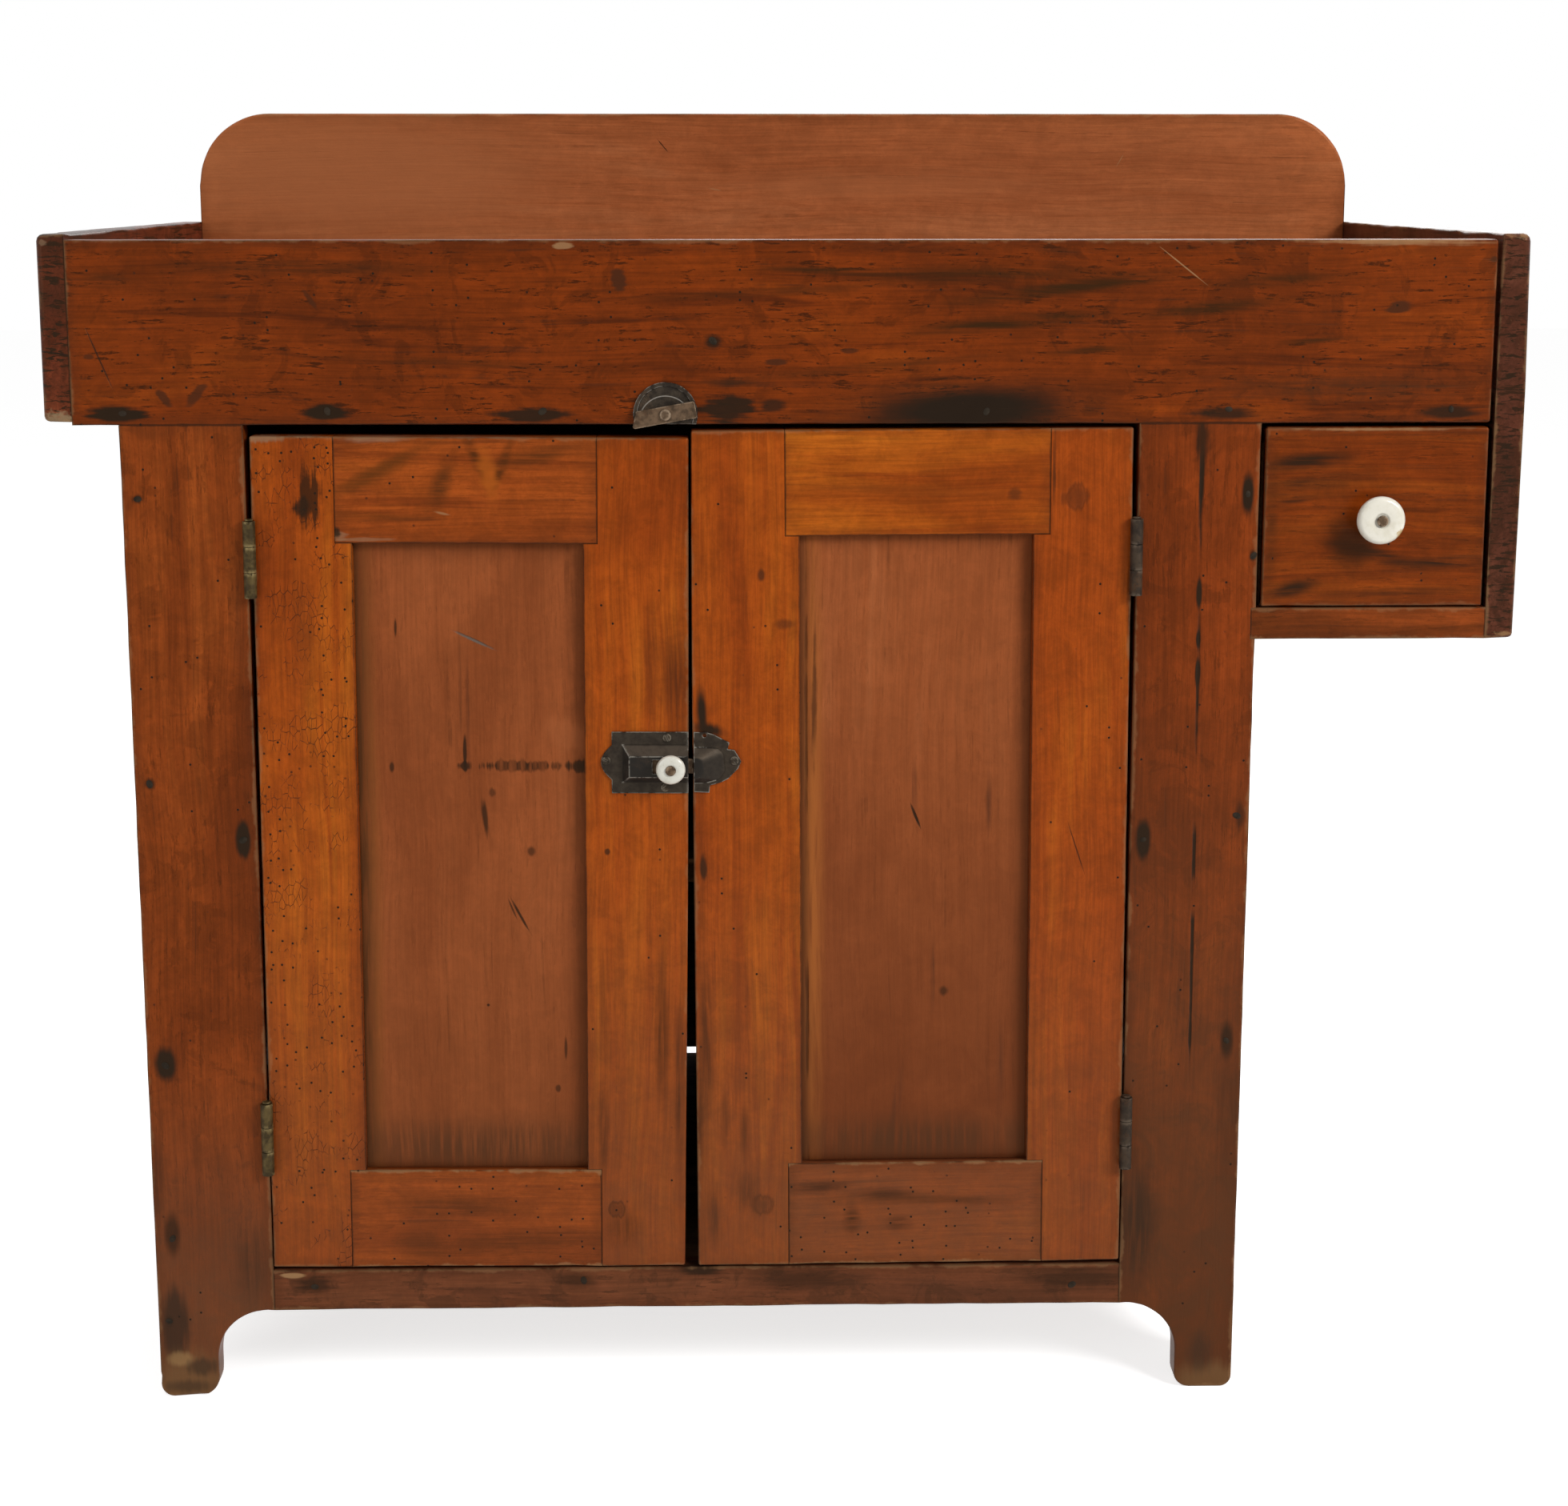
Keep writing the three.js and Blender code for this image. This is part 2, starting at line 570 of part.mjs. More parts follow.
// A raised casing with three bevelled sides and one square end at x = edge
function bevelledCase(edge, toward, width, foot, height, rise, bevel, bevelHigh) {
  const back = [
    [edge, foot], [edge + toward * width, foot],
    [edge + toward * width, foot + height], [edge, foot + height],
  ];
  const face = [
    [edge, foot + bevel], [edge + toward * (width - bevel), foot + bevel],
    [edge + toward * (width - bevel), foot + height - bevelHigh], [edge, foot + height - bevelHigh],
  ];
  const corners = [...back.map(([x, z]) => [x, 0, z]), ...face.map(([x, z]) => [x, -rise, z])];
  const quads = [[0, 3, 2, 1], [4, 5, 6, 7], [0, 1, 5, 4], [1, 2, 6, 5], [2, 3, 7, 6], [3, 0, 4, 7]];
  const index = quads.flatMap(([a, b, c, d]) => (toward > 0
    ? [a, b, c, a, c, d] : [a, c, b, a, d, c]));
  const geometry = new THREE.BufferGeometry();
  geometry.setAttribute('position', new THREE.Float32BufferAttribute(corners.flat(), 3));
  geometry.setIndex(index);
  return geometry;
}

// Cuts the inside of a bevelled case, open behind and at its square end
function caseHollow(edge, toward, width, foot, height, rise, bevel, bevelHigh, wall) {
  const start = edge - toward * cutOver;
  return bevelledCase(start, toward, width + cutOver - wall, foot + wall, height - 2 * wall,
    rise - wall, bevel - wall / 2, bevelHigh - wall / 2).translate(0, turnedGap, 0);
}

const boltFront = -latchPlate.thick - boltSize.thick - turnedGap;
const boltRear = boltFront + boltSize.thick;

function latchCasing(edge, knobX) {
  const foot = latchHeight + latchBox.lift;
  const outer = bevelledCase(edge, -1, latchBox.width, foot, latchBox.height, latchRise,
    latchBox.bevel, latchBox.bevelHigh);
  const hollow = caseHollow(edge, -1, latchBox.width, foot, latchBox.height, latchRise,
    latchBox.bevel, latchBox.bevelHigh, latchBox.wall);
  const plate = earedPlate(edge, -1, latchPlate, latchHeight, latchEar);
  const slotHalf = latchKnob.neckRadius + turnedGap;
  const slot = box(knobX - boltTravel - slotHalf, knobX + slotHalf, -latchRise - cutOver,
    -latchPlate.thick, boltCentre - slotHalf, boltCentre + slotHalf);
  return cut(join(plate, outer), hollow, slot);
}

// The bolt's tip is bevelled behind, so that it rides over the keeper as the door shuts
function latchBolt(edge, knobX) {
  const tip = edge + boltReach;
  const tail = tip - boltLength;
  const plan = outline([
    [tail, boltRear], [tail, boltFront], [tip, boltFront], [tip - boltSize.bevel, boltRear],
  ]);
  const bar = extrude(plan, boltSize.height).translate(0, 0, latchHeight + boltSize.lift);
  const hole = frontRod(latchRivet.shankRadius + turnedGap, knobX, boltCentre,
    boltFront - cutOver, boltRear + cutOver);
  return cut(bar, hole);
}

// Radius against reach for a turned knob, from its foot to its face, with a bore for its screw
function knobProfile(knob, bore, foot, neckEnd, faceRadius) {
  const tip = neckEnd + knob.length;
  const rim = tip - knob.rimLength;
  return [
    [bore, foot], [knob.footRadius, foot], [knob.neckRadius, neckEnd],
    [knob.radius * knobShares.shoulder, rim], [knob.radius, rim + knob.rimLength * knobShares.belly],
    [knob.radius * knobShares.face, tip - knob.rimLength * knobShares.dome],
    [faceRadius, tip], [bore, tip], [bore, foot],
  ];
}

function screwProfile(screw, rear, tip) {
  const head = tip + turnedGap;
  return [
    [screw.shankRadius, rear], [screw.shankRadius, head], [screw.headRadius, head],
    [screw.headRadius * knobShares.face, head + screw.headHeight], [0, head + screw.headHeight],
  ];
}

function addLatch(parent, door) {
  const edge = door.width;
  const knobX = edge - latchKnob.inset;
  const foot = turnedGap - boltFront;
  const neckEnd = latchRise + turnedGap;
  const tip = neckEnd + latchKnob.length;
  place(parent, 'latch_case', latchCasing(edge, knobX), iron);
  place(parent, 'latch_bolt', latchBolt(edge, knobX), iron);
  const knob = knobProfile(latchKnob, latchRivet.shankRadius + turnedGap, foot, neckEnd,
    latchRivet.headRadius);
  place(parent, 'latch_knob', frontLathe(knob, knobX, boltCentre), porcelain);
  const rivet = [[0, -boltRear], ...screwProfile(latchRivet, -boltRear, tip)];
  place(parent, 'latch_knob_rivet', frontLathe(rivet, knobX, boltCentre), iron);
  place(parent, 'latch_spring', coil(edge - casingEnd, (boltFront + boltRear) / 2, boltCentre), iron);
}

// A coil along X, drawn at its compressed length
class Coil extends THREE.Curve {
  getPoint(t, target = new THREE.Vector3()) {
    const angle = 2 * Math.PI * springSize.turns * t;
    return target.set(springSize.length * t, springSize.radius * Math.cos(angle),
      springSize.radius * Math.sin(angle));
  }
}

function coil(x, y, z) {
  const wire = new THREE.Shape();
  wire.absarc(0, 0, springSize.wire / 2, 0, 2 * Math.PI);
  const steps = springSize.turns * springSize.stepsPerTurn;
  return new THREE.ExtrudeGeometry(wire, { steps, extrudePath: new Coil(), curveSegments: springSize.sides })
    .translate(x, y, z);
}

function addKeeper(parent, door) {
  const edge = door.side * door.width - keeperPlate.overhang;
  const foot = keeperPlate.lift + keeperBox.lift;
  const plate = earedPlate(edge, 1, keeperPlate, keeperPlate.lift, keeperEar);
  const outer = bevelledCase(edge, 1, keeperBox.width, foot, keeperBox.height, latchRise,
    latchBox.bevel, latchBox.bevelHigh);
  const hollow = caseHollow(edge, 1, keeperBox.width, foot, keeperBox.height, latchRise,
    latchBox.bevel, latchBox.bevelHigh, latchBox.wall);
  place(parent, 'latch_keeper', cut(join(plate, outer), hollow), iron);
}

// A disc with a raised rim, cut off level with the underside of the tray
function buttonPlateGeometry(pivotZ) {
  const dip = Math.asin((pivotZ - caseHeight) / buttonPlate.radius);
  const disc = new THREE.Shape();
  disc.absarc(buttonPivotX, pivotZ, buttonPlate.radius, -dip, Math.PI + dip);
  const plate = frontSlab(disc, -buttonPlate.thick, buttonPlate.thick);
  const rim = cut(frontSlab(disc, -buttonPlate.thick - buttonPlate.rimRise, buttonPlate.rimRise),
    frontRod(buttonPlate.radius - buttonPlate.rimWidth, buttonPivotX, pivotZ, -cutOver, cutOver));
  const hole = frontRod(buttonRivet.shankRadius + turnedGap, buttonPivotX, pivotZ, -cutOver, cutOver);
  return cut(join(plate, rim), hole);
}

function buttonBarShape() {
  const half = buttonBar.width / 2;
  const round = buttonBar.corner;
  const foot = -buttonBar.lowerArm;
  const head = buttonBar.upperArm;
  const shape = new THREE.Shape();
  shape.moveTo(-half + round, foot + buttonBar.slant);
  shape.lineTo(half - round, foot);
  shape.quadraticCurveTo(half, foot, half, foot + round);
  shape.lineTo(half, head - round);
  shape.quadraticCurveTo(half, head, half - round, head);
  shape.lineTo(-half + round, head);
  shape.quadraticCurveTo(-half, head, -half, head - round);
  shape.lineTo(-half, foot + buttonBar.slant + round);
  shape.quadraticCurveTo(-half, foot + buttonBar.slant, -half + round, foot + buttonBar.slant);
  return shape;
}

function addTurnButton(parent) {
  const pivotZ = caseHeight + buttonPlate.pivotLift;
  const barRear = -buttonPlate.thick - buttonPlate.rimRise - turnedGap;
  const barFront = barRear - buttonBar.thick;
  place(parent, 'turn_button_plate', buttonPlateGeometry(pivotZ), iron);
  const shank = screwProfile(buttonRivet, -buttonRivet.depth, -barFront);
  place(parent, 'turn_button_rivet',
    frontLathe([[0, -buttonRivet.depth], ...shank], buttonPivotX, pivotZ), iron);
  const turned = new THREE.Group();
  turned.position.set(buttonPivotX, 0, pivotZ);
  turned.rotation.y = THREE.MathUtils.degToRad(buttonRestDegrees);
  const hole = frontRod(buttonRivet.shankRadius + turnedGap, 0, 0, barFront - cutOver, barRear + cutOver);
  const bar = frontSlab(buttonBarShape(), barFront, buttonBar.thick);
  place(turned, 'turn_button_bar', cut(bar, hole), iron);
  parent.add(turned);
}

function drawerFront() {
  const body = box(drawerLeft, drawerRight, 0, drawerFrontThick,
    drawerFrontBase, drawerFrontTop);
  const laps = [[drawerLeft - cutOver, drawerLeft + drawerSideThick],
    [drawerRight - drawerSideThick, drawerRight + cutOver]].map(([x0, x1]) =>
    box(x0, x1, drawerLap, drawerFrontThick + cutOver, drawerFrontBase - cutOver, drawerSideTop));
  const groove = box(drawerLeft, drawerRight, drawerFrontThick - drawerGroove, drawerFrontThick + cutOver,
    drawerBase + drawerBottomLift, drawerBase + drawerBottomLift + drawerBottomThick);
  const hole = frontRod(drawerScrew.shankRadius + knobHoleGap, knobCentreX, knobCentreZ,
    -cutOver, drawerFrontThick + cutOver);
  return cut(body, ...laps, groove, hole);
}

function drawerSide(outer, inward) {
  const body = box(outer, outer + inward * drawerSideThick, drawerLap, drawerLength,
    drawerBase, drawerSideTop);
  const face = outer + inward * drawerSideThick;
  const groove = box(face - inward * drawerGroove, face + inward * cutOver,
    drawerFrontThick - drawerGroove, drawerLength + cutOver,
    drawerBase + drawerBottomLift, drawerBase + drawerBottomLift + drawerBottomThick);
  return cut(body, groove);
}

const knobCentreX = (drawerLeft + drawerRight) / 2;
const knobCentreZ = (drawerFrontBase + drawerFrontTop) / 2;

function addDrawer(parent) {
  const innerX0 = drawerLeft + drawerSideThick;
  const innerX1 = drawerRight - drawerSideThick;
  const bottomFoot = drawerBase + drawerBottomLift;
  const bottomTop = bottomFoot + drawerBottomThick;
  place(parent, 'drawer_front', drawerFront(), trayWood);
  place(parent, 'drawer_left_side', drawerSide(drawerLeft, 1), innerWood);
  place(parent, 'drawer_right_side', drawerSide(drawerRight, -1), innerWood);
  place(parent, 'drawer_back', box(innerX0, innerX1, drawerLength - drawerBackThick, drawerLength,
    bottomTop, drawerSideTop), innerWood);
  place(parent, 'drawer_bottom', box(innerX0 - drawerGroove, innerX1 + drawerGroove,
    drawerFrontThick - drawerGroove, drawerLength, bottomFoot, bottomTop), innerWood);
  const knob = knobProfile(drawerKnob, drawerScrew.shankRadius + knobHoleGap, 0, drawerKnob.neckLength,
    drawerScrew.headRadius);
  place(parent, 'drawer_knob', frontLathe(knob, knobCentreX, knobCentreZ), porcelain);
  const nutFront = -drawerFrontThick - turnedGap;
  const nutRear = nutFront - drawerScrew.nutHeight;
  const screw = [[0, nutRear], [drawerScrew.nutRadius, nutRear], [drawerScrew.nutRadius, nutFront],
    ...screwProfile(drawerScrew, nutFront, drawerKnobTip)];
  place(parent, 'drawer_knob_screw', frontLathe(screw, knobCentreX, knobCentreZ), iron);
}

function doorGroup(door) {
  const group = new THREE.Group();
  group.applyMatrix4(doorMatrix(door));
  return group;
}

const drawerKnobTip = drawerKnob.neckLength + drawerKnob.length;
const frontReach = drawerKnobTip + turnedGap + drawerScrew.headHeight;

const cabinet = new THREE.Group();
cabinet.position.y = (frontReach - trayDepth) / 2;
addCase(cabinet);
addTray(cabinet);
addDrawerBay(cabinet);
addDrawer(cabinet);
addTurnButton(cabinet);
const left = doorGroup(leftDoor);
addDoor(left, leftDoor, 'left_door', agedBrass);
addLatch(left, leftDoor);
const right = doorGroup(rightDoor);
addDoor(right, rightDoor, 'right_door', iron);
addKeeper(right, rightDoor);
cabinet.add(left, right);

export default cabinet;
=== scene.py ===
import json
import math
from contextlib import contextmanager

import bmesh
import bpy
from mathutils import Matrix, Vector, noise
from mathutils.bvhtree import BVHTree
from mathutils.kdtree import KDTree


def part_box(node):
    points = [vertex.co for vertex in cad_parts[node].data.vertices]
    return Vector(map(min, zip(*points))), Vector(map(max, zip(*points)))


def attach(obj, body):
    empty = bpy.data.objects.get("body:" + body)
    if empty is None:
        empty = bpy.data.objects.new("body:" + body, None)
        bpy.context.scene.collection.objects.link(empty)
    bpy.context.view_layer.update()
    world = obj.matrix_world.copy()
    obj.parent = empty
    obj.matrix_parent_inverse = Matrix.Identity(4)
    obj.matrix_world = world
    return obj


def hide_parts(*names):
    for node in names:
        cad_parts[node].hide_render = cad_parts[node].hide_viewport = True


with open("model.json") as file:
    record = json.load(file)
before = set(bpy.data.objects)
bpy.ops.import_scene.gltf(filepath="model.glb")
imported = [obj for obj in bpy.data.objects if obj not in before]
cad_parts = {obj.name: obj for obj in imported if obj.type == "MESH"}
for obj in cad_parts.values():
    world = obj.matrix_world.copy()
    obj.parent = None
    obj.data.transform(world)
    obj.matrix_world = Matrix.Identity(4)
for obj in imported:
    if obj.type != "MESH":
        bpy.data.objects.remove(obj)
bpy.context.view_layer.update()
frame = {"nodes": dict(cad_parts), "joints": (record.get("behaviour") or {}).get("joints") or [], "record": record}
print("frame loaded:", len(frame["nodes"]), "nodes")

doorFace = -0.26275  # where the front of the doors and stiles lies in y
panelFace = -0.25425
splashFace = 0.26725
tiny = 0.0002  # two measures that differ by less are the same
lyingAlongY = (math.pi / 2, 0, 0)


# Selection and small mesh helpers

def selectOnly(*pieces):
    bpy.ops.object.select_all(action="DESELECT")
    for piece in pieces:
        piece.select_set(True)
    bpy.context.view_layer.objects.active = pieces[0]


@contextmanager
def editing(piece, action="SELECT"):
    selectOnly(piece)
    bpy.ops.object.mode_set(mode="EDIT")
    bpy.ops.mesh.select_all(action=action)
    yield
    bpy.ops.object.mode_set(mode="OBJECT")


def choose(piece, parts, passes):  # selects the edges or faces that pass, and says if there are any
    grid = bmesh.from_edit_mesh(piece.data)
    for part in getattr(grid, parts):
        part.select_set(passes(part))
    bmesh.update_edit_mesh(piece.data)
    return any(part.select for part in getattr(grid, parts))


def bisect(place, way, **more):
    bpy.ops.mesh.select_all(action="SELECT")
    bpy.ops.mesh.bisect(plane_co=place, plane_no=way, **more)


def turnOutward():
    bpy.ops.mesh.select_all(action="SELECT")
    bpy.ops.mesh.normals_make_consistent(inside=False)


def copyOf(node, name):
    source = frame["nodes"][node]
    piece = source.copy()
    piece.data = source.data.copy()
    piece.name = piece.data.name = name
    piece.parent = None
    for key in list(piece.keys()):
        del piece[key]
    piece.data.materials.clear()
    bpy.context.scene.collection.objects.link(piece)
    return piece


def mergeCopy(piece):
    with editing(piece):
        bpy.ops.mesh.remove_doubles(threshold=0.00001)
        bpy.ops.mesh.dissolve_limited(angle_limit=math.radians(1))
        turnOutward()


def settle():  # writes the newly added object's place, turn and size into its mesh
    bpy.ops.object.transform_apply(location=True, rotation=True, scale=True)


def added(name):  # the object that was just added, under its new name
    piece = bpy.context.object
    piece.name = piece.data.name = name
    return piece


def applyAll(piece):
    selectOnly(piece)
    for modifier in list(piece.modifiers):
        bpy.ops.object.modifier_apply(modifier=modifier.name)


def setBevel(piece, width, segments, **more):
    bevel = piece.modifiers.new("bevel", "BEVEL")
    bevel.width, bevel.segments = width, segments
    for key, value in more.items():
        setattr(bevel, key, value)


def finishPiece(piece, body, slotName, material, *nodes):
    piece.data.materials.clear()
    piece.data.materials.append(material)
    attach(piece, body)
    if nodes:
        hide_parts(*nodes)


def nearest(points):
    tree = KDTree(len(points) or 1)
    for i, point in enumerate(points):
        tree.insert(point, i)
    tree.balance()
    return tree


# Shader maths: a socket that can be added, multiplied and compared

class Wire:
    def __init__(self, paint, socket):
        self.paint, self.socket = paint, socket

    def math(self, operation, *others):
        return self.paint.math(operation, self, *others)

    def __add__(self, other):
        return self.math("ADD", other)

    def __sub__(self, other):
        return self.math("SUBTRACT", other)

    def __mul__(self, other):
        return self.math("MULTIPLY", other)

    def __rsub__(self, other):
        return self.paint.math("SUBTRACT", other, self)

    __radd__, __rmul__ = __add__, __mul__

    def low(self, other):
        return self.math("MINIMUM", other)

    def high(self, other):
        return self.math("MAXIMUM", other)

    def size(self):
        return self.math("ABSOLUTE")

    def ramp(self, start, end, low=0.0, high=1.0):  # smooth step from start to end
        return self.paint.node("ShaderNodeMapRange", {"interpolation_type": "SMOOTHSTEP"},
                               {"Value": self, 1: start, 2: end, 3: low, 4: high})

    def output(self, key):  # another output of the same node
        return Wire(self.paint, self.socket.node.outputs[key])


class Paint:
    def __init__(self, owner):  # a new material or the world
        owner.use_nodes = True
        self.owner, self.tree = owner, owner.node_tree
        self.tree.nodes.clear()

    def node(self, kind, settings=None, sockets=None, output=0):
        made = self.tree.nodes.new(kind)
        for key, value in (settings or {}).items():
            setattr(made, key, value)
        for key, value in (sockets or {}).items():
            if isinstance(value, Wire):
                self.tree.links.new(value.socket, made.inputs[key])
            else:
                made.inputs[key].default_value = value
        return Wire(self, made.outputs[output]) if made.outputs else None

    def math(self, operation, *values):
        return self.node("ShaderNodeMath", {"operation": operation}, dict(enumerate(values)))

    def mix(self, first, second, share, blend="MIX"):
        first, second = (c if isinstance(c, Wire) else (*c, 1.0) for c in (first, second))
        return self.node("ShaderNodeMix", {"data_type": "RGBA", "blend_type": blend},
                         {0: share, 6: first, 7: second}, output=2)

    def vary(self, color, pattern, share):  # makes a colour lighter and darker by a share either way
        value = pattern.ramp(0.3, 0.7, 1.0 - share, 1.0 + share)
        grey = self.node("ShaderNodeCombineColor", {}, {0: value, 1: value, 2: value})
        return self.mix(color, grey, 1.0, "MULTIPLY")

    def place(self):
        return self.node("ShaderNodeTexCoord", output="Object")

    def mapped(self, vector, location, scale=(1, 1, 1), turn=0.0, kind="POINT"):
        return self.node("ShaderNodeMapping", {"vector_type": kind},
                         {"Vector": vector, "Location": location, "Rotation": (0, turn, 0), "Scale": scale})

    def reach(self, vector, centre, size, turn=0.0):  # 1 on an ellipsoid round the centre
        near = self.mapped(vector, centre, size, turn, "TEXTURE")
        return self.node("ShaderNodeVectorMath", {"operation": "LENGTH"}, {0: near}, output="Value")

    def split(self, vector):
        parts = self.node("ShaderNodeSeparateXYZ", {}, {"Vector": vector})
        return [parts.output(i) for i in range(3)]

    def noise(self, vector, scale, detail, rough=0.5, distortion=0.0):
        return self.node("ShaderNodeTexNoise", {}, {"Vector": vector, "Scale": scale, "Detail": detail,
                                                    "Roughness": rough, "Distortion": distortion})

    def cells(self, x, z, output, feature="F1"):  # cells of about 9 mm, drawn over the board's face
        flat = self.node("ShaderNodeCombineXYZ", {}, {"X": x, "Y": z, "Z": 0.0})
        return self.node("ShaderNodeTexVoronoi", {"voronoi_dimensions": "2D", "feature": feature},
                         {"Vector": flat, "Scale": 110.0}, output=output)

    def seen(self):  # 1 where a ray comes from the camera, from a gloss or through glass
        rays = self.node("ShaderNodeLightPath")
        return (rays.output("Is Camera Ray").high(rays.output("Is Glossy Ray"))
                .high(rays.output("Is Transmission Ray")))

    def finish(self, color, roughness, height, reach, metallic=0.0, coat=0.0, coatRoughness=0.2,
               specular=0.5, tint=(1, 1, 1)):
        bump = self.node("ShaderNodeBump", {}, {"Strength": 1.0, "Distance": reach, "Height": height})
        shader = self.node("ShaderNodeBsdfPrincipled", {}, {
            "Base Color": color, "Roughness": roughness, "Metallic": metallic, "Normal": bump,
            "Specular IOR Level": specular, "Specular Tint": (*tint, 1.0),
            "Coat Weight": coat, "Coat Roughness": coatRoughness})
        self.node("ShaderNodeOutputMaterial", {}, {"Surface": shader})
        return self.owner


# Old varnished pine: colours from worn and dark to bright, and how strongly each effect shows
woods = {
    "tray": {"dark": (0.0566, 0.0082, 0.0012), "mid": (0.1545, 0.0235, 0.002),
             "light": (0.2472, 0.0459, 0.0034), "streak": 0.85, "fleck": 0.5, "dash": 0.8, "clear": 0.65,
             "blotch": 0.35, "coat": 0.35, "rough": 0.36},
    "drawer": {"dark": (0.0572, 0.0104, 0.0014), "mid": (0.1352, 0.0198, 0.0015),
               "light": (0.2028, 0.0395, 0.0033), "streak": 0.7, "fleck": 0.3, "dash": 0.4, "coat": 0.4,
               "rough": 0.34},
    "stile": {"dark": (0.0927, 0.0147, 0.0022), "mid": (0.1908, 0.0347, 0.0048),
              "light": (0.2561, 0.0546, 0.008), "streak": 0.4, "fleck": 0.35, "dash": 0.4, "blotch": 0.3,
              "coat": 0.3, "rough": 0.4},
    "apron": {"dark": (0.0473, 0.0144, 0.008), "mid": (0.1208, 0.033, 0.013),
              "light": (0.1785, 0.0556, 0.022), "streak": 0.5, "fleck": 0.5, "dash": 0.6, "blotch": 0.5,
              "coat": 0.15, "rough": 0.5},
    "door": {"dark": (0.1782, 0.0265, 0.0024), "mid": (0.2916, 0.053, 0.004),
             "light": (0.3888, 0.0933, 0.0066), "streak": 0.35, "fleck": 0.25, "dash": 0.15, "coat": 0.35,
             "rough": 0.36},
    "rail": {"dark": (0.1484, 0.0255, 0.0038), "mid": (0.2756, 0.053, 0.0066),
             "light": (0.3816, 0.0898, 0.0085), "streak": 0.5, "fleck": 0.35, "dash": 0.3, "coat": 0.35,
             "rough": 0.38},
    "panel": {"dark": (0.1716, 0.0402, 0.011), "mid": (0.2496, 0.0639, 0.0185),
              "light": (0.2964, 0.0845, 0.027), "streak": 0.18, "fleck": 0.3, "dash": 0.2, "fibre": 0.08,
              "mottle": 0.10, "coat": 0.2, "rough": 0.45},
    "back": {"dark": (0.2215, 0.0536, 0.015), "mid": (0.3141, 0.0876, 0.028),
             "light": (0.3605, 0.1185, 0.044), "streak": 0.3, "fleck": 0.3, "dash": 0.2, "fibre": 0.10,
             "mottle": 0.14, "coat": 0.25, "rough": 0.42},
    "end": {"dark": (0.020, 0.006, 0.004), "mid": (0.062, 0.017, 0.010), "light": (0.120, 0.038, 0.022),
            "streak": 0.5, "fleck": 0.45, "dash": 0.4, "blotch": 0.5, "coat": 0.3, "rough": 0.36},
    "inner": {"dark": (0.16, 0.085, 0.040), "mid": (0.27, 0.155, 0.075), "light": (0.36, 0.22, 0.115),
              "streak": 0.5, "fleck": 0.5, "dash": 0.4, "coat": 0.0, "rough": 0.75},
}
stainColor = (0.006, 0.004, 0.003)
wornColor = (0.30, 0.165, 0.075)
knotColor = (0.045, 0.011, 0.004)
markColors = {"stain": stainColor, "ring": stainColor, "scratch": stainColor, "crack": stainColor,
              "knot": knotColor, "worn": wornColor, "dull": (0.11, 0.043, 0.020)}
soot, pitch, umber = (0.022, 0.007, 0.0015), (0.012, 0.004, 0.002), (0.04, 0.012, 0.005)
maroon, claret, cocoa = (0.03, 0.008, 0.002), (0.035, 0.009, 0.002), (0.035, 0.011, 0.005)
russet = (0.07, 0.02, 0.009)
ringWidth = 0.35
markDepth = 0.02


def markMask(paint, place, mark, wobble, strand):
    turn = math.radians(mark["turn"])
    reach = paint.reach(place, mark["at"], mark["size"], turn)
    reach = reach + (wobble - 0.5) * (0.6 * mark["ragged"]) + (strand - 0.5) * (1.5 * mark["ragged"])
    if mark["kind"] == "ring":
        return (reach - 1.0).size().ramp(0.0, ringWidth, 1.0, 0.0) * mark["share"]
    soft = mark["soft"] * (1.0 if mark["kind"] == "dull" else 0.75)
    mask = reach.ramp(1.0 - soft, 1.0 + soft, mark["share"], 0.0)
    if mark["kind"] == "dull":
        mask = mask * strand.ramp(0.3, 0.6, 0.3, 1.0)
    if mark["kind"] == "crack":
        mask = mask * paint.noise(place, mark["broken"], 2.0).ramp(0.42, 0.56)
    return mask


def arrisGap(x, y, z):  # the middle one of three: the way to the nearest arris
    return x.low(y).high(x.high(y).low(z))


def openGap(part, low, high, openSides, axis):  # the way to this axis's nearest side that no joint closes
    ways = [part - low] if axis + "Low" in openSides else []
    if axis + "High" in openSides:
        ways.append(high - part)
    if not ways:
        return part * 0.0 + 1.0
    return ways[0] if len(ways) == 1 else ways[0].low(ways[1])


